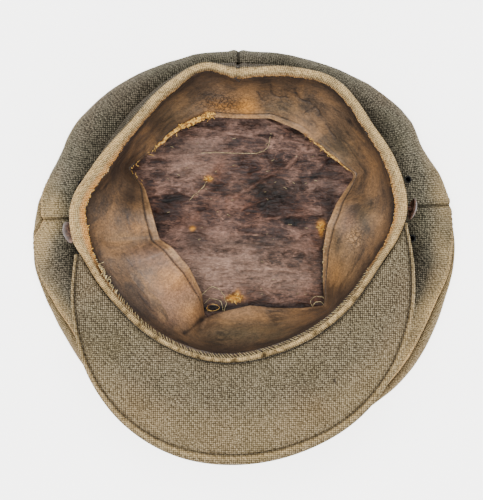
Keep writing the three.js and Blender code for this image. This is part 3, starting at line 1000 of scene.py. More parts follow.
def bandPiece():
    wallRows, rollRows, turnRows, innerRows = 24, 7, 11, 8
    columns, flat, masks = [], [], {"pale": [], "worn": [], "dirtAndShade": []}
    along, before = 0.0, None
    for angle in [90 + a for a in spread(0, 360, 720)]:
        here = onSpoke(angle, rimReach(angle), 0)
        along += math.dist(before, here) if before else 0.0
        before = here
        x, y, _ = here
        fold, crest, edge, pucker, join = rimSection(angle)
        tuck, rubbed = rimSewn(angle), rimWorn(angle)
        dirtyJoin = 0.3 * bump(join, 1.2)
        outline, tints = [], []
        for share in spread(0, 0.94, wallRows):
            reach, height = bandFace(angle, share)
            place = onSpoke(angle, reach, height)
            out = 0.7 * rough(*place, 24, 2) * ease(0, 0.12, share) - 0.9 * bump(join, 1.2)
            out += 0.5 * bump(join - 3, 1.6) + 0.08 * rough(*place, 3)
            out -= 0.55 * bump(share - stitchShare, 0.025)
            outline.append((reach + out, height))
            # the wall under the rim is darkened with painted shade; the back join is dark
            tints.append((0.0, 0.04, min(1.0, 0.75 * ease(1.0, 0.85, share) + 0.5 * bump(join, 1.0))))
        # rolled edge, a soft quarter turn on to the turned-in cloth
        for t in spread(0, 1, rollRows)[1:]:
            a = t * math.pi / 2
            reach = mix(crest[0], fold[0], math.cos(a)) + pucker * 0.4
            outline.append((reach, mix(fold[1], crest[1], math.sin(a))))
            pale = 0.45 + 0.45 * ease(0.1, 0.6, t) + 0.5 * rough(x, y, t * 3, 7)
            dirtAndShade = dirtyJoin + tuck * max(0.0, 0.2 + 1.1 * rough(x, y, t * 2, 3))
            tints.append((min(1.0, pale), 0.15 * rubbed, min(1.0, dirtAndShade)))
        for t in spread(0, 1, turnRows)[1:]:
            sag = 0.5 * math.sin(t * math.pi)
            outline.append((mix(crest[0], edge[0], t), mix(crest[1], edge[1], t**1.25) + sag))
            drab = 0.35 * rough(x, y, t * 4, 9, 2) - 0.1
            pale = 0.95 + drab - 0.35 * t - 1.0 * tuck * ease(0.2, 0.6, t)
            worn = rubbed * ease(0.35, 0.75, t) + 0.5 * ease(0.75, 1, t) * (1 - tuck)
            # the torn place is darkened: a painted shadow in the slit
            tearShade = 0.9 * bump(angle - tearAt, 5) * ease(0.35, 0.7, t)
            dirtAndShade = 0.45 * ease(0.93, 1.0, t) + 0.5 * tuck * max(0.0, rough(x, y, t * 3, 3))
            dirtAndShade += 0.25 * tuck * ease(0.25, 0.65, t) + dirtyJoin + tearShade
            tints.append((max(0.0, pale), min(1.0, worn), min(1.0, dirtAndShade)))
        outline.append((edge[0] + 0.3, edge[1] - 1.0))
        outline.append((rimReach(angle) - bandSize["wall"], rimUp(angle) - bandSize["rollDrop"] - 0.3))
        for share in reversed(spread(0, 0.8, innerRows)):
            reach, height = bandFace(angle, share)
            outline.append((reach - bandSize["wall"], height))
        columns.append([onSpoke(angle, *p) for p in outline])
        flat.append([(along, v) for v in lengthsAlong(outline)])
        paint(masks, tints + [(0.0, 0.0, 0.3)] * (len(outline) - len(tints)))
    made = ("head_band", columns, sergeMaterial, "khaki_wool", ["band"])
    return piece(*made, flat=flat, masks=masks, sharp=70)


bandPiece()
print("trench cap: band made")

# Peak: cloth over stiffener, seamed a little inside its edge.
peakSize = dict(
    start=194.0,
    end=357.0,
    wall=4.0,
    edgeWall=2.6,
    slope=0.2,
    dish=1.25,
    seamDip=0.9,
    seamRidge=0.35,
)
snag = (56.5, -80)  # a pulled thread on the peak


def peakFrame(angle):
    root = max(rimReach(angle), bandFace(angle, 0.88)[0]) + gap
    reach = peakReach(angle)
    return root, reach, rimUp(angle) - 1


def peakHeight(angle, distance):
    root, reach, up = peakFrame(angle)
    width = reach - root
    return up + peakSize["slope"] * width * (distance / width) ** peakSize["dish"]


def peakTop(angle, distance):
    root, reach, _ = peakFrame(angle)
    toEdge = reach - root - distance
    hem = peakHem(angle)
    x, y, _ = onSpoke(angle, root + distance, 0)
    height = peakHeight(angle, distance)
    height += 0.5 * rough(x, y, 0, 34, 2) * ease(0, 8, distance) * ease(0, 6, toEdge)
    height += 0.07 * rough(x, y, 0, 3.0)
    height -= peakSize["seamDip"] * bump(toEdge - hem, 0.7)
    height += peakSize["seamRidge"] * (bump(toEdge - hem - 2.2, 1.4) + bump(toEdge - hem + 1.6, 1.0))
    height -= 1.2 * (1 - math.sqrt(max(0.0, 1 - (1 - min(1.0, toEdge / 1.6)) ** 2)))
    return height - 1.0 * bump(distance, 1.0)


def peakPiece():
    rows = 64
    columns, flat, masks = [], [], {"pale": [], "dirtAndShade": []}
    for angle in spread(peakSize["start"], peakSize["end"], 260):
        root, reach, _ = peakFrame(angle)
        width = reach - root
        hem = peakHem(angle)
        top, under, spots, tints = [], [], [], []
        for k in spread(0, 1, rows):
            t = 1 - (1 - k) ** 1.35
            distance = width * t
            toEdge = width - distance
            x, y, _ = onSpoke(angle, root + distance, 0)
            wall = mix(peakSize["wall"], peakSize["edgeWall"], t)
            base = peakHeight(angle, distance) - wall
            base += 0.3 * rough(x, y, 4, 20) * ease(0, 8, toEdge) + 1.0 * (1 - ease(0, 1.4, toEdge))
            top.append((root + distance, peakTop(angle, distance)))
            under.append((root + distance, base))
            spots.append((x, y))
            pale = 0.12 + 0.3 * bump(toEdge - hem + 1.8, 1.4) + 0.15 * ease(20, 44, distance)
            toSnag = math.dist((x, y), snag)
            # darker at the seam and the snag, and at the root against the band, where it is painted shade
            dirtAndShade = 0.85 * bump(toEdge - hem, 0.8) + 0.35 * bump(distance, 1.5) + 0.6 * bump(toSnag, 1.6)
            tints.append((pale, min(1.0, dirtAndShade)))
        columns.append([onSpoke(angle, *p) for p in under + top[::-1]])
        flat.append(spots + spots[::-1])
        paint(masks, [(pale, 0.0) for pale, _ in tints] + tints[::-1])
    made = ("cap_peak", columns, peakMaterial, "khaki_wool", ["peak"])
    return piece(*made, closed=False, flat=flat, masks=masks)


peakPiece()
print("trench cap: peak made")

# Sweatband
sweat = dict(wall=1.6, width=48.0, hem=4.6, hemRise=0.55, billow=0.9)

# Where the bound edge of the leather is whole, or worn away.
hemRows = table(
    "at whole",
    (0, 1.0),
    (18, 0.9),
    (24, 0.3),
    (50, 0.3),
    (62, 0.7),
    (74, 1.0),
    (102, 0.9),
    (112, 0.15),
    (150, 0.15),
    (158, 0.9),
    (182, 1.0),
    (198, 1.0),
    (245, 1.0),
    (252, 0.2),
    (300, 0.1),
    (314, 0.3),
    (322, 1.0),
    (340, 1.0),
)
hemWhole = smooth(hemRows, "whole")

# Painted places on the leather: where, how far they reach along and across, and how strong.
leatherPaint = table(
    "kind x y wide tall much",
    ("ochre", 3.5, 92, 6, 5, 1.0),
    ("ochre", -12, 92, 9, 4, 0.5),
    ("ochre", -27, 83, 8, 2.6, 0.3),
    ("stain", -27, 84, 10, 3.0, 0.8),
    ("stain", -40, 77, 9, 3.4, 0.8),
    ("stain", -52, 69, 6, 4, 0.7),
    ("cracked", -12, 94, 13, 6, 1.2),
    ("cracked", 24, 98, 18, 8, 0.3),
    ("rubbed", -8, 84, 22, 4, 0.4),
    ("stain", 15, 101, 6, 7, 0.6),
    ("stain", 30, 100, 9, 6, 0.7),
    ("stain", 44, 92, 7, 6, 0.4),
    ("stain", 58, 76, 8, 10, 0.45),
    ("stain", -30, 100, 16, 7, 0.55),
    ("stain", -54, 84, 14, 10, 0.35),
    ("stain", -78, 58, 10, 14, 0.7),
    ("stain", -84, 36, 5, 20, 0.6),
    ("stain", -66, 52, 10, 7, 0.6),
    ("olive", 24, 92, 20, 8, 0.6),
    ("olive", 60, 60, 14, 18, 0.7),
    ("olive", 62, -2, 8, 26, 0.6),
    ("olive", 12, -54, 42, 7, 1.1),
    ("olive", -44, 88, 20, 12, 0.5),
    ("rubbed", 60, 40, 4, 8, 0.5),
    ("ochre", 60, 36, 4, 7, 0.2),
    # the rosy and rubbed spots here on the right flap are a painted highlight
    ("rosy", 68, 16, 5, 9, 0.5),
    ("rubbed", 71, 8, 4, 6, 1.3),
    ("olive", 78, 22, 6, 10, 0.8),
    ("cracked", 72, 8, 5, 7, 0.9),
    ("rubbed", 57, 2, 3, 18, 0.4),
    ("rubbed", 66, -13, 8, 11, 0.55),
    ("stain", 76, 30, 7, 16, 0.5),
    ("ochre", 60, -14, 5, 10, 0.25),
    ("ochre", -66, 14, 6, 4, 0.35),
    ("ochre", -34, -40, 8, 5, 0.25),
    ("stain", 56, -30, 8, 8, 0.5),
    ("stain", -70, 34, 4, 12, 0.5),
    ("stain", -50, 8, 14, 3, 0.4),
    # the rosy spot and the rubbed ones around it on the front-left flap are a painted highlight
    ("rosy", -36, -28, 15, 16, 1.1),
    ("ochre", -42, -20, 9, 7, 0.4),
    ("rubbed", -40, -16, 8, 6, 0.25),
    ("ochre", -38, 8, 9, 5, 0.25),
    ("stain", -22, -34, 4, 12, 0.5),
    ("rubbed", -32, -34, 12, 9, 0.6),
    ("rosy", -54, -4, 16, 8, 0.5),
    ("rubbed", -74, 8, 10, 3, 0.7),
    ("stain", -74, 30, 8, 14, 0.5),
    # these two stains darken the hollow along the rim at the front left: painted shade
    ("stain", -60, -30, 8, 15, 0.45),
    ("stain", -74, -14, 6, 12, 0.4),
    ("stain", -38, -52, 18, 5, 0.35),
    ("rubbed", -8, -47, 8, 3, 0.5),
    ("rubbed", 34, -45, 12, 2, 0.3),
    ("stain", 48, -48, 12, 7, 0.5),
    ("stain", 20, -60, 40, 4, 0.4),
)

# Short dark cracks and creases, in plan.
leatherCracks = table(
    "x0 y0 x1 y1 wide deep",
    (17, 105, 22, 98, 0.5, 1.0),
    (22, 98, 30, 96, 0.5, 0.8),
    (33, 102, 37, 96, 0.5, 0.9),
    (37, 96, 44, 92, 0.5, 0.8),
    (40, 86, 46, 90, 0.5, 0.9),
    (46, 90, 49, 84, 0.5, 0.9),
    (10, 100, 15, 95, 0.5, 0.7),
    (54, 80, 60, 70, 0.5, 0.6),
    (-21.6, -42.5, -36, -53, 1.0, 1.1),
)

# Its larger folds: positive depths are hollows, negative ones are ridges.
leatherFolds = table(
    "x0 y0 x1 y1 wide deep",
    (-84, 6, -50, 9, 3.2, 1.5),
    (-80, -4, -50, 0, 6.5, -2.2),
    (-66, -14, -48, -42, 7, 1.8),
    (-30, -14, -24, -36, 8, -1.4),
    (66, 40, 84, 30, 5, 1.2),
    (64, 8, 80, 22, 6, -1.3),
    (54, 58, 70, 66, 6, 1.0),
    (-40, 96, -64, 72, 6, 0.9),
    (-14, 96, 14, 92, 6, -0.8),
    (-20, -50, 40, -54, 4, -0.9),
    (40, -36, 58, -30, 6, 1.1),
)


def leatherCurve(angle):
    rim = rimReach(angle)
    sewn = min(rim - rimTurn(angle) + 0.8, rim - bandSize["wall"] - gap - sweat["wall"] / 2)
    sewnUp = rimUp(angle) - bandSize["rollDrop"] - gap - sweat["wall"] / 2
    edge = leatherReach(angle)
    lean = sewn - edge
    drop = math.sqrt(max(1.0, sweat["width"] ** 2 - lean**2))
    points = (
        (sewn, sewnUp),
        (sewn - 0.12 * lean, sewnUp - 0.5 * drop),
        (edge + 0.38 * lean, sewnUp - 0.88 * drop),
        (edge, sewnUp - drop),
    )
    return lambda t: cubic(points, t)


# The seen face of the leather: its place, its crack depth, and how whole its bound edge is there.
def leatherFace(angle, curve, t, lift=0.0):
    reach, up = curve(t)
    x, y, _ = onSpoke(angle, reach, up)
    across = t * sweat["width"]
    toEdge = sweat["width"] - across
    bent = (x + 2.4 * rough(x, y, 1, 6), y + 2.4 * rough(x, y, 9, 6))
    cracks = min(1.0, foldDepth(*bent, leatherCracks))
    whole = hemWhole(angle)
    out = sweat["wall"] / 2 + 0.22 * rough(x, y, up, 6, 2) + 0.3 * rough(x, y, up, 4) * bump(across, 5)
    soft = ease(0, 12, across) * ease(0, 7, toEdge)
    out += (sweat["billow"] * rough(x, y, up, 26, 2) - foldDepth(x, y, leatherFolds)) * soft
    out += whole * sweat["hemRise"] * ease(sweat["hem"] + 0.4, sweat["hem"] - 0.6, toEdge)
    out -= 0.6 * whole * bump(toEdge - sweat["hem"], 0.5) + 0.5 * cracks
    reach, up = offset(curve, t, -out - lift)
    # never outside the band's own inner face
    share = (up - foot["up"] + foot["below"]) / (rimUp(angle) - foot["up"] + foot["below"])
    if share > 0:
        reach = min(reach, bandFace(angle, share)[0] - bandSize["wall"] - gap)
    return (reach, up), cracks, whole


leatherNodes = ["sweatband_left", "sweatband_right"]


def sweatbandPiece():
    rows, backRows = 70, 8
    kinds = ("ochre", "cracked", "stain", "olive", "rosy", "rubbed")
    stepMm = 0.62  # along the strip, from one column to the next
    columns, flat, masks = [], [], {kind: [] for kind in kinds}
    for i, angle in enumerate((249 + a) % 360 for a in spread(0, 360, 720)):
        curve = leatherCurve(angle)
        front, tints = [], []
        for t in spread(0, 1, rows):
            place, cracks, whole = leatherFace(angle, curve, t)
            front.append(place)
            x, y, up = onSpoke(angle, *curve(t))
            across = t * sweat["width"]
            toEdge = sweat["width"] - across
            values = spotsAt(x, y, leatherPaint, kinds, 2.2)
            # dark cracks, and a dark line in the groove inside the bound edge, which is painted shade
            values["stain"] += cracks + 0.9 * whole * bump(toEdge - sweat["hem"], 0.55)
            # darker near the sewn edge under the rim: painted shade
            values["stain"] += 0.75 * bump(across, 8) + 0.3 * ease(24, 8, across)
            values["stain"] += 0.4 * (1 - whole) * bump(toEdge, 1.5)
            onHem = ease(sweat["hem"], sweat["hem"] - 1.0, toEdge)
            rub = onHem * (0.4 + 0.6 * rough(x, y, up, 9)) + 0.7 * bump(toEdge - 0.8, 0.8)
            values["rubbed"] += whole * rub + 0.35 * whole * bump(toEdge - sweat["hem"] - 1.4, 0.7)
            values["cracked"] += 0.12
            tints.append([min(1.0, values[kind]) for kind in kinds])
        back = [offset(curve, t, sweat["wall"] / 2) for t in reversed(spread(0, 1, backRows))]
        columns.append([onSpoke(angle, *p) for p in front + back])
        deep = [t * sweat["width"] for t in spread(0, 1, rows) + spread(1, 0, backRows)]
        flat.append([(i * stepMm, v) for v in deep])
        paint(masks, tints + [[0.0] * len(kinds)] * len(back))
    made = ("sweatband_leather", columns, leatherMaterial, "brown_leather", leatherNodes)
    return piece(*made, flat=flat, masks=masks, sharp=60)


sweatbandPiece()
print("trench cap: sweatband made")

# Lining: a flat bag of oilcloth in the crown, crumpled by long wear.
bag = dict(wall=1.0, floor=6.0, inset=10.0, crumple=2.8)

liningFolds = table(
    "x0 y0 x1 y1 wide deep",
    (-62, 61, -6, 64, 1.2, -1.8),
    (-60, 57, -20, 60, 1.1, 1.0),
    (-12, 30, 34, 58, 1.4, -1.6),
    (30, 54, 56, 84, 1.6, -1.8),
    (-4, 24, 40, 40, 1.4, 0.9),
    (40, 40, 60, 60, 1.6, 1.0),
    (-56, 44, -14, 37, 1.3, -1.3),
    (10, 20, 52, 24, 1.4, -1.4),
    (-46, 13, 22, 9, 1.2, -1.6),
    (-30, 0, 40, -4, 1.5, 0.9),
    (-16, -12, 44, -14, 1.3, -1.4),
    (-34, 80, 20, 72, 1.2, -1.4),
    (4, 92, 44, 70, 1.3, -1.4),
)

liningPaint = table(
    "kind x y wide tall much",
    ("ochre", -21.5, 46.5, 2.0, 1.6, 1.2),
    ("ochre", -32, 14, 1.5, 1.4, 0.9),
    ("ochre", 52, 16.5, 2.2, 2.6, 1.4),
    ("ochre", 52, 12, 1.2, 3.0, 0.8),
    ("ochre", -4.5, -31.4, 4.4, 1.9, 1.5),
    ("ochre", -2.5, -29.5, 1.6, 3.0, 1.0),
    ("mould", -30, 66, 20, 8, 0.5),
    ("mould", 20, 40, 30, 6, 0.45),
    ("mould", 10, 4, 30, 4, 0.5),
    ("bloom", 0, -12, 46, 13, 0.9),
    ("bloom", -30, -22, 16, 12, 0.5),
    ("bloom", 30, -22, 18, 8, 0.5),
    ("bloom", -34, 52, 16, 6, 0.45),
    # the dark spots are painted shadow, most along the leather's free edge
    ("dark", 0, -38, 60, 3.6, 1.3),
    ("dark", 54, -14, 3, 24, 1.2),
    ("dark", 58, 30, 4, 20, 0.8),
    ("dark", -30, 8, 8, 10, 0.7),
    ("dark", -30, -26, 6, 10, 0.7),
)


def liningHeight(x, y):
    bend = 9 * rough(x, y, 2, 34)
    long = 1 - abs(rough(x / 4.2, y + bend, 1, 7.5, 3)) * 2.2
    cross = 1 - abs(rough(x + 0.6 * y, y - 0.5 * x, 6, 17, 3)) * 2.2
    fine = 1 - abs(rough(x / 1.8, y, 3, 4.2, 2)) * 2
    height = bag["crumple"] * (0.5 * long + 0.38 * cross) + 0.6 * fine + 2.0 * rough(x, y, 8, 46)
    return height - foldDepth(x, y, liningFolds)


def liningPiece():
    floorRows = 130
    kinds = ("ochre", "mould", "bloom", "dark")
    columns, masks = [], {kind: [] for kind in ("ridge", *kinds)}
    for angle in spread(0, 360, 480)[:-1]:
        turnUp = crownReach(angle) - bag["inset"]
        mouth = footReach(angle) - 1
        mouthUp = foot["up"] - foot["below"] - gap
        fold = [(turnUp - 4, bag["floor"] + 3), (turnUp, bag["floor"] + 9), (mouth, mouthUp)]
        floor = [(reach, bag["floor"]) for reach in spread(0, turnUp - 16, floorRows)]
        over, tints = [], []
        for reach, up in floor + fold:
            x, y, _ = onSpoke(angle, reach, up)
            still = ease(94, 78, reach)
            crumpled = liningHeight(x, y) * still if still else 0.0
            over.append((reach, max(up + bag["wall"] + crumpled, bag["floor"] - 1.4)))
            values = spotsAt(x, y, liningPaint, kinds, 2.5)
            # ridge follows the crumpled height: lighter crests and darker valleys, painted light and shade
            values = [0.22 + 0.14 * crumpled] + [values[kind] for kind in kinds]
            tints.append([min(1.0, max(0.0, value)) for value in values])
        under = [(0, 3.2), (0.5 * turnUp, 3.2), (turnUp - 16, 3.4), (turnUp - 3, 7.4), (turnUp + 0.8, 14.6)]
        under.append((mouth + 0.5, mouthUp + 0.2))
        columns.append([onSpoke(angle, *p) for p in under + over[::-1]])
        paint(masks, [[0.4] + [0.0] * len(kinds)] * len(under) + tints[::-1])
    made = ("oilcloth_lining", columns, liningMaterial, "brown_oilcloth", ["lining"])
    return piece(*made, masks=masks, weld=True)


liningPiece()
print("trench cap: lining made")


# A solid turned about an axis: profile is reach and height along it, from the place, in the direction aim.
def turned(name, profile, place, aim, material, slot, stands, sides=64, uneven=0.0, sharp=40):
    toAim = Vector((0, 0, 1)).rotation_difference(Vector(aim))
    columns = []
    for angle in spread(0, 360, sides)[:-1]:
        c, s = heading(angle)
        ring = []
        for reach, up in profile:
            up += uneven * rough(reach * c, reach * s, up, 5) if reach else 0.0
            ring.append(tuple(toAim @ Vector((reach * c, reach * s, up)) + Vector(place)))
        columns.append(ring)
    return piece(name, columns, material, slot, stands, sharp=sharp, weld=True)


# Buttons for the missing chin strap: domed sheet metal, hollow behind, on a shank.
buttons = table(
    "name at up turned tipped",
    ("button_left", 185.5, 63, 198, 32),
    ("button_right", 2.6, 68, 347, -8),
)
buttonProfile = [
    (0, 0), (1.1, 0), (1.15, 5.6), (1.7, 6.15), (3.6, 6.2), (4.9, 5.85), (5.7, 5.2), (6.0, 4.75), (6.3, 4.55),
    (6.65, 4.7), (6.82, 5.1), (6.75, 5.55), (6.4, 5.85), (5.9, 6.15), (5.2, 6.65), (4.3, 7.1), (3.2, 7.45),
    (2.1, 7.7), (1.0, 7.85), (0, 7.9),
]

for button in buttons:
    share = (button["up"] - foot["up"]) / (rimUp(button["at"]) - foot["up"])
    reach = bandFace(button["at"], share)[0] + 1.2
    (c, s), (level, rise) = heading(button["turned"]), heading(button["tipped"])
    place, aim = onSpoke(button["at"], reach, button["up"]), (c * level, s * level, rise)
    made = (button["name"] + "_domed", buttonProfile, place, aim, bronzeMaterial, "dull_bronze")
    turned(*made, [button["name"]], uneven=0.18)

# Eyelets that air the crown, two a side.
eyeletProfile = [
    (1.45, -2.3), (1.8, -2.3), (1.8, 0.05), (2.15, 0.0), (2.35, 0.1), (2.4, 0.3), (2.25, 0.46), (2.0, 0.5),
    (1.7, 0.42), (1.52, 0.25), (1.45, -0.1),
]

for vent in vents:
    normal = shellNormal(vent["at"], vent["share"])
    place = shellPoint(vent["at"], vent["share"]) + normal * 0.15
    made = (vent["name"] + "_rolled", eyeletProfile, place, normal, eyeletMaterial, "blackened_metal")
    turned(*made, [vent["name"]], sides=40, sharp=60)
print("trench cap: buttons and eyelets made")


# Threads: tubes along paths in mm, each path with its thickness, joined into one piece.
def threads(name, paths, material, sides=6):
    corners, faces = [], []
    for points, thick in paths:
        points = [Vector(p) for p in points]
        first = len(corners)
        side = None
        for i, here in enumerate(points):
            run = (points[min(i + 1, len(points) - 1)] - points[max(i - 1, 0)]).normalized()
            if side is None:
                side = run.orthogonal().normalized()
            side = (side - run * side.dot(run)).normalized()
            other = run.cross(side)
            taper = 0.55 if i in (0, len(points) - 1) else 1.0
            for k in range(sides):
                a = 2 * math.pi * k / sides
                corners.append((here + (side * math.cos(a) + other * math.sin(a)) * thick * taper / 2) * mm)
        for i in range(len(points) - 1):
            for k in range(sides):
                low, high = first + i * sides, first + (i + 1) * sides
                faces.append((low + k, low + (k + 1) % sides, high + (k + 1) % sides, high + k))
        last = first + (len(points) - 1) * sides
        faces.append(tuple(first + k for k in reversed(range(sides))))
        faces.append(tuple(last + k for k in range(sides)))
    mesh = bpy.data.meshes.new(name)
    mesh.from_pydata(corners, [], faces)
    return finishPiece(name, mesh, material, sharp=80)


# A curve through a few places, with a little wander.
def thread(points, thick, steps=14, wander=0.0):
    points = [Vector(p) for p in points]
    path = []
    for i in range(len(points) - 1):
        p0, p1, p2 = points[max(i - 1, 0)], points[i], points[i + 1]
        p3 = points[min(i + 2, len(points) - 1)]
        for k in range(steps if i < len(points) - 2 else steps + 1):
            t = k / steps
            place = 2 * p1 + (p2 - p0) * t + (2 * p0 - 5 * p1 + 4 * p2 - p3) * t**2
            place = 0.5 * (place + (3 * p1 - p0 - 3 * p2 + p3) * t**3)
            if wander:
                place += noise.noise_vector(place * 0.4) * wander
            path.append(tuple(place))
    return path, thick


def arch(start, end, lift, thick, steps=6):
    start, end, lift = Vector(start), Vector(end), Vector(lift)
    return [tuple(start.lerp(end, t) + lift * 4 * t * (1 - t)) for t in spread(0, 1, steps)], thick


# Stitches along a row of places, each lifted a little along the surface's own direction there.
def stitchRow(places, lifts, long, apart, thick):
    lengths, paths = lengthsAlong(places), []
    k, here = 0, 0.4

    def along(distance):
        nonlocal k
        while k < len(lengths) - 2 and lengths[k + 1] < distance:
            k += 1
        share = (distance - lengths[k]) / max(1e-6, lengths[k + 1] - lengths[k])
        return Vector(places[k]).lerp(Vector(places[k + 1]), share), Vector(lifts[k])

    while here + long < lengths[-1]:
        (a, up), (b, _) = along(here), along(here + long)
        paths.append(arch(a - up * 0.12, b - up * 0.12, up * (thick * 0.85), thick, 4))
        here += long + apart * random.uniform(0.85, 1.15)
    return paths


# Each kind of stitch: its length, the space to the next and the thread's thickness, in mm.
stitchSizes = dict(panel=(2.3, 1.1, 0.34), peak=(2.2, 1.0, 0.34), band=(2.4, 1.2, 0.36), hem=(1.9, 1.3, 0.34))
besideSeam = dict(first=2.3, apart=2.0, reachThere=125, shareMm=34)


def panelRow(low, high, spots):
    places = [onSpoke(angle, *panelFace(angle, share, low, high)[0]) for angle, share in spots]
    return stitchRow(places, [shellNormal(*spot) for spot in spots], *stitchSizes["panel"])


def clothStitches():
    paths = []
    inset = math.degrees(besideSeam["first"] / besideSeam["reachThere"])
    for panel in panels:
        low, high = panel["low"], panel["high"]
        angles = spread(low + inset, high - inset, round(high - low))
        for far in (besideSeam["first"], besideSeam["first"] + besideSeam["apart"]):
            paths += panelRow(low, high, [(a, crownSeam(a) + far / besideSeam["shareMm"]) for a in angles])
        for angle in (low + inset, high - inset):
            paths += panelRow(low, high, [(angle, s) for s in spread(crownSeam(angle) + 0.05, 1.97, 30)])
    return threads("panel_stitches", paths, clothThread)


def peakStitches():
    paths = []
    for inward in (0.0, 1.7):
        places = []
        for angle in spread(peakSize["start"] + 0.6, peakSize["end"] - 0.6, 240):
            root, reach, _ = peakFrame(angle)
            distance = max(0.4, reach - root - peakHem(angle) - inward)
            places.append(onSpoke(angle, root + distance, peakTop(angle, distance)))
        paths += stitchRow(places, [(0, 0, 1)] * len(places), *stitchSizes["peak"])
    return threads("peak_stitches", paths, clothThread)


def bandStitches():
    places, lifts = [], []
    for angle in spread(0, 360, 480):
        reach, up = bandFace(angle, stitchShare)
        out = 0.7 * rough(*onSpoke(angle, reach, up), 24, 2) - 0.55 + 0.15
        places.append(onSpoke(angle, reach + out, up))
        lifts.append((*heading(angle), 0))
    paths = stitchRow(places, lifts, *stitchSizes["band"])
    return threads("band_stitches", paths, clothThread)


def hemStitches():
    paths, t = [], 1 - sweat["hem"] / sweat["width"]
    for low, high in ((322, 382), (62, 104), (158, 247)):
        places, lifts = [], []
        for angle in spread(low, high, round((high - low) * 2)):
            angle %= 360
            curve = leatherCurve(angle)
            place, _, _ = leatherFace(angle, curve, t, 0.05)
            off, plain = offset(curve, t, -1), curve(t)
            out, (c, s) = off[0] - plain[0], heading(angle)
            places.append(onSpoke(angle, *place))
            lifts.append((out * c, out * s, off[1] - plain[1]))
        paths += stitchRow(places, lifts, *stitchSizes["hem"])
    return threads("hem_stitches", paths, darkThread)


# Whip stitches over the joined edges of the cloth and the leather: long, slanted and pale along the front,
# short and dark behind.
whip = dict(pitchMm=1.9, backPitchMm=3.0, thick=0.4)


def whipStitches():
    pale, dark = [], []
    angle = 0.0
    while angle < 360:
        fold, crest, edge, _, _ = rimSection(angle)
        front = rimSewn(angle) > 0.4
        pitch = whip["pitchMm"] if front else whip["backPitchMm"]
        step = math.degrees(pitch / edge[0]) * (1 + 0.14 * random.uniform(-1, 1))
        if front:
            a = onSpoke(angle, mix(crest[0], edge[0], -0.1), crest[1] - 0.1)
            b = onSpoke(angle - 1.7 * step, edge[0] - 0.9, edge[1] - 1.3)
            pale.append(arch(a, b, (0, 0, 0.6), whip["thick"] * random.uniform(0.8, 1.3)))
            a = onSpoke(angle - 0.5 * step, mix(fold[0], crest[0], 0.55), mix(fold[1], crest[1], 0.9))
            b = onSpoke(angle - 1.9 * step, edge[0] - 0.3, edge[1] - 0.4)
            dark.append(arch(a, b, (0, 0, 0.5), whip["thick"] * random.uniform(0.4, 0.8)))
        elif rimWorn(angle) < 0.7 or random.random() < 0.3:
            a = onSpoke(angle, edge[0] + 0.9, edge[1] + 0.5)
            b = onSpoke(angle + 0.3 * step, edge[0] - 0.9, edge[1] - 1.9)
            dark.append(arch(a, b, (0, 0, 0.45), whip["thick"] * 0.75))
        angle += step
    threads("whip_stitches_pale", pale, paleThread)
    threads("whip_stitches_dark", dark, darkThread)


for sew in (clothStitches, peakStitches, bandStitches, hemStitches, whipStitches):
    sew()
print("trench cap: stitches made")


# Frayed ends of yarn: many short, thin strands along a stretch of an edge.
def frayAlong(spot, count, long, thick, across):
    paths = []
    for _ in range(count):
        place, away = spot(random.random())
        place, away = Vector(place), Vector(away).normalized()
        side = Vector((-away.y, away.x, 0))
        reach = long * random.uniform(0.35, 1.0)
        lean = random.uniform(-1, 1)
        points = [place + side * across * random.uniform(-1, 1) + Vector((0, 0, 0.15))]
        for _ in range(3):
            step = (away * math.cos(lean) + side * math.sin(lean)) * reach / 3
            points.append(points[-1] + step + Vector((0, 0, random.uniform(-0.15, 0.45))))
            lean += random.uniform(-0.7, 0.7)
        paths.append(thread(points, thick * random.uniform(0.7, 1.2), 3))
    return paths


# These give the place of a fray on an edge, and the direction in which it points.
def rimEdgeAt(low, high):
    def at(share):
        angle = mix(low, high, share)
        _, _, edge, _, _ = rimSection(angle)
        c, s = heading(angle)
        return onSpoke(angle, edge[0] + 0.7, edge[1] + 0.9), (-c, -s, 0)

    return at


def leatherEdgeAt(low, high, inset):
    def on(angle):
        place, _, _ = leatherFace(angle, leatherCurve(angle), 1 - inset / sweat["width"], 0.15)
        return Vector(onSpoke(angle, *place))

    def at(share):
        here, there = on(mix(low, high, share) % 360), on(mix(low, high, share + 0.02) % 360)
        return tuple(here), tuple((there - here) * (1 if random.random() < 0.5 else -1))

    return at


def tuftAt(x, y, z, wide):
    def at(_):
        turn = random.uniform(0, 2 * math.pi)
        far = wide * math.sqrt(random.random())
        c, s = math.cos(turn), math.sin(turn)
        return (x + far * c, y + 0.45 * far * s, z), (c, 0.6 * s, 0)

    return at


# Strands that lie along the leather's edge.
def strandAlong(low, high, inset, wander, thick, count, rise):
    paths = []
    for _ in range(count):
        start, stop = sorted((random.uniform(low, high), random.uniform(low, high)))
        stop = max(stop, start + 0.35 * (high - low))
        points = []
        for angle in spread(start, min(stop, high), 7):
            curve = leatherCurve(angle % 360)
            t = 1 - max(0.2, inset + random.uniform(-wander, wander)) / sweat["width"]
            place, _, _ = leatherFace(angle % 360, curve, t, 0.2 + random.uniform(0, rise))
            points.append(onSpoke(angle, *place))
        paths.append(thread(points, thick * random.uniform(0.7, 1.3), 4, wander=0.15))
    return paths


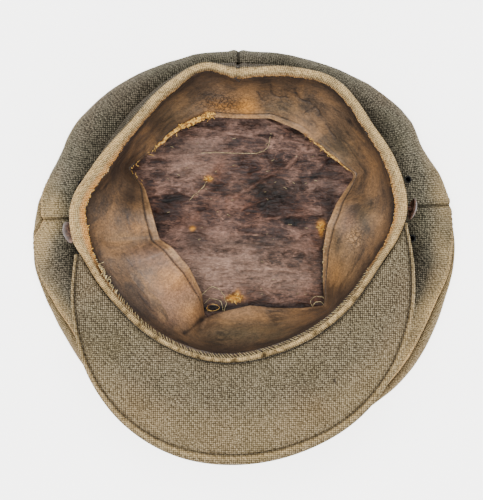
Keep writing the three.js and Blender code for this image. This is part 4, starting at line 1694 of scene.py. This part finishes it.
# Frays, in the order in which they are drawn, each row from one angle to another. inset is how far they stand
# inside the edge, across how far they scatter, and long how long each is, or how far a strand rises.
frayRows = table(
    "yarn kind low high inset across thick count long",
    ("ochre", "strands", 102, 124, 3.6, 3.2, 0.7, 26, 2.4),
    ("ochre", "strands", 112, 141, 2.0, 1.9, 0.55, 22, 1.6),
    ("ochre", "leather", 104, 128, 2.6, 1.8, 0.36, 50, 4.5),
    ("ochre", "leather", 128, 146, 1.4, 1.0, 0.3, 12, 4),
    ("ochre", "leather", 150, 163, 1.5, 1.5, 0.34, 18, 4),
    ("ochre", "strands", 20, 44, 1.2, 1.0, 0.42, 8, 0.5),
    ("ochre", "leather", 19, 50, 0.8, 0.8, 0.32, 30, 3.2),
    ("ochre", "rim", 168, 204, 0, 0.8, 0.3, 60, 1.7),
    ("ochre", "rim", -12, 22, 0, 0.7, 0.3, 40, 1.4),
    ("pale", "rim", 160, 205, 0, 0.8, 0.3, 40, 1.4),
    ("pale", "rim", -16, 24, 0, 0.7, 0.28, 24, 1.2),
    ("pale", "rim", 197, 210, 0, 1.4, 0.45, 16, 4.6),
    ("pale", "rim", 196, 214, 0, 1.6, 0.4, 22, 2.6),
    ("pale", "rim", 216, 338, 0, 0.8, 0.28, 60, 1.0),
    ("pale", "leather", 322, 344, 0.6, 0.5, 0.34, 14, 2.0),
    ("dark", "rim", 60, 165, 0, 0.7, 0.3, 70, 1.8),
    ("dark", "leather", 108, 150, 1.0, 1.2, 0.32, 30, 4),
)

# Tufts of stuffing on the lining.
tufts = table(
    "x y z wide count",
    (-4.5, -31.4, 10, 4.2, 46),
    (52, 15, 10, 1.8, 16),
    (-21.5, 46.5, 11, 1.4, 10),
)

# Long loose threads: the two loops at the front of the leather, and two that lie on the lining.
longThreads = (
    [(-27, -31, 20), (-20, -24, 26), (-12.5, -27, 27), (-10, -35, 24), (-12.5, -43, 20)],
    [(-24, -35, 20), (-20, -31, 26), (-14, -33, 27), (-11.5, -39, 24)],
    [(47, -38, 20), (44.5, -33, 25), (48, -30, 27), (53, -31, 25), (53.5, -36, 22)],
    [(50, -40, 20), (46, -36, 26), (50, -33, 27), (54, -36, 24)],
    [(-34, 32, 11), (-31, 36, 12), (-26, 40, 12.5), (-22, 45, 11.5)],
    [(-42, 62, 10), (-20, 63.5, 11.5), (8, 63, 11.5), (16, 66, 11), (19, 74, 11.5)],
)


def frays(yarn):
    paths = []
    for row in frayRows:
        low, high, inset, across, thick, count, long = list(row.values())[2:]
        if row["yarn"] == yarn and row["kind"] == "strands":
            paths += strandAlong(low, high, inset, across, thick, count, long)
        elif row["yarn"] == yarn:
            edge = rimEdgeAt(low, high) if row["kind"] == "rim" else leatherEdgeAt(low, high, inset)
            paths += frayAlong(edge, count, long, thick, across)
    return paths


def looseThreads():
    random.seed(21)
    ochre = frays("ochre")
    for tuft in tufts:
        spot = tuftAt(tuft["x"], tuft["y"], tuft["z"], tuft["wide"])
        ochre += frayAlong(spot, tuft["count"], 3.2, 0.42, 0.3)
    coil = [
        (-18.5 + 3.8 * math.cos(a) + 0.5 * math.sin(2.3 * a), -37 + 2.2 * math.sin(a), 22 + 0.5 * a)
        for a in (0.3 * k for k in range(8, 38))
    ]
    ochre.append(thread(coil, 0.26, 2))
    threads("ochre_frays", ochre, ochreThread, sides=5)

    pale = frays("pale")
    for _ in range(46):
        x, y = random.uniform(-48, 50), random.uniform(-30, 80)
        turn, long = random.uniform(-0.6, 0.6), random.uniform(0.8, 2.6)
        run = Vector((math.cos(turn), math.sin(turn), 0)) * long / 2
        place = Vector((x, y, bag["floor"] + bag["wall"] + liningHeight(x, y) + 0.3))
        pale.append(thread([place - run, place + Vector((0, 0, 0.3)), place + run], 0.26, 3))
    pale += [thread(points, 0.32, 10, wander=0.6) for points in longThreads]
    threads("pale_frays", pale, paleThread, sides=5)

    dark = frays("dark")
    dark.append(thread([(-2.6, 112, 76), (-1.8, 108, 79), (-3.4, 105.5, 78), (-1, 103.5, 76)], 0.7, 8))
    dark += frayAlong(lambda _: ((*snag, 90.5), (1, 0.2, 0)), 8, 2.0, 0.3, 0.8)
    threads("dark_frays", dark, darkThread, sides=5)


looseThreads()
print("trench cap: loose threads made")

# A pale studio floor
studio = dict(
    floor="#f6f5f2",
    floorMottle="#faf9f7",
    floorGlow=3.2,
    floorRadius=3.0,  # in metres
    world="#fbfaf8",
    worldStrength=0.8,
)


def studioFloor():
    mesh = bpy.data.meshes.new("studio_floor")
    sides, far = 64, studio["floorRadius"]
    ring = [(far * c, far * s, 0) for c, s in map(heading, spread(0, 360, sides)[:-1])]
    mesh.from_pydata(ring, [], [tuple(range(sides))])
    material, tree, shader = freshMaterial("studio_floor")
    mottle = put(tree, "ShaderNodeTexNoise", {"Scale": 60.0, "Detail": 2.0}).outputs[0]
    colour = ramped(tree, mottle, (0.3, studio["floor"]), (0.7, studio["floorMottle"]))
    glow = {"Emission Color": linear("#ffffff"), "Emission Strength": studio["floorGlow"]}
    feed(tree, shader, {"Base Color": colour, "Roughness": 0.9, **glow})
    mesh.materials.append(material)
    made = bpy.data.objects.new("studio_floor", mesh)
    bpy.context.scene.collection.objects.link(made)


studioFloor()

world = bpy.data.worlds.new("studio")
world.use_nodes = True
background = world.node_tree.nodes["Background"]
colour = linear(studio["world"])
feed(world.node_tree, background, {"Color": colour, "Strength": studio["worldStrength"]})
bpy.context.scene.world = world

# Softboxes: place and aim in metres, width, power in watts.
softboxes = table(
    "name place aim wide watts",
    ("over", (-0.05, 0.15, 1.5), (0.0, 0.0, 0.05), 0.9, 29.0),
    ("left", (-1.1, 0.1, 0.75), (0.0, 0.0, 0.04), 0.8, 4.0),
    ("right", (1.1, 0.0, 0.75), (0.0, 0.0, 0.04), 0.8, 3.0),
    ("front", (0.1, -1.1, 0.8), (0.0, 0.0, 0.04), 0.8, 7.0),
)
for box in softboxes:
    lamp = bpy.data.lights.new(box["name"], "AREA")
    lamp.shape = "SQUARE"
    lamp.size = box["wide"]
    lamp.energy = box["watts"]
    made = bpy.data.objects.new("softbox_" + box["name"], lamp)
    made.location = box["place"]
    made.rotation_euler = (Vector(box["aim"]) - Vector(box["place"])).to_track_quat("-Z", "Y").to_euler()
    bpy.context.scene.collection.objects.link(made)

# Straight down. The lens fits the photograph's frame, 483 by 500.
view = dict(heightM=1.2, sensorMm=36, lensMm=131.328)
lens = bpy.data.cameras.new("camera")
lens.sensor_width = view["sensorMm"]
lens.lens = view["lensMm"]
camera = bpy.data.objects.new("camera", lens)
camera.location = (0, 0, view["heightM"])
bpy.context.scene.collection.objects.link(camera)
bpy.context.scene.camera = camera
print("trench cap: floor, lights and camera placed")
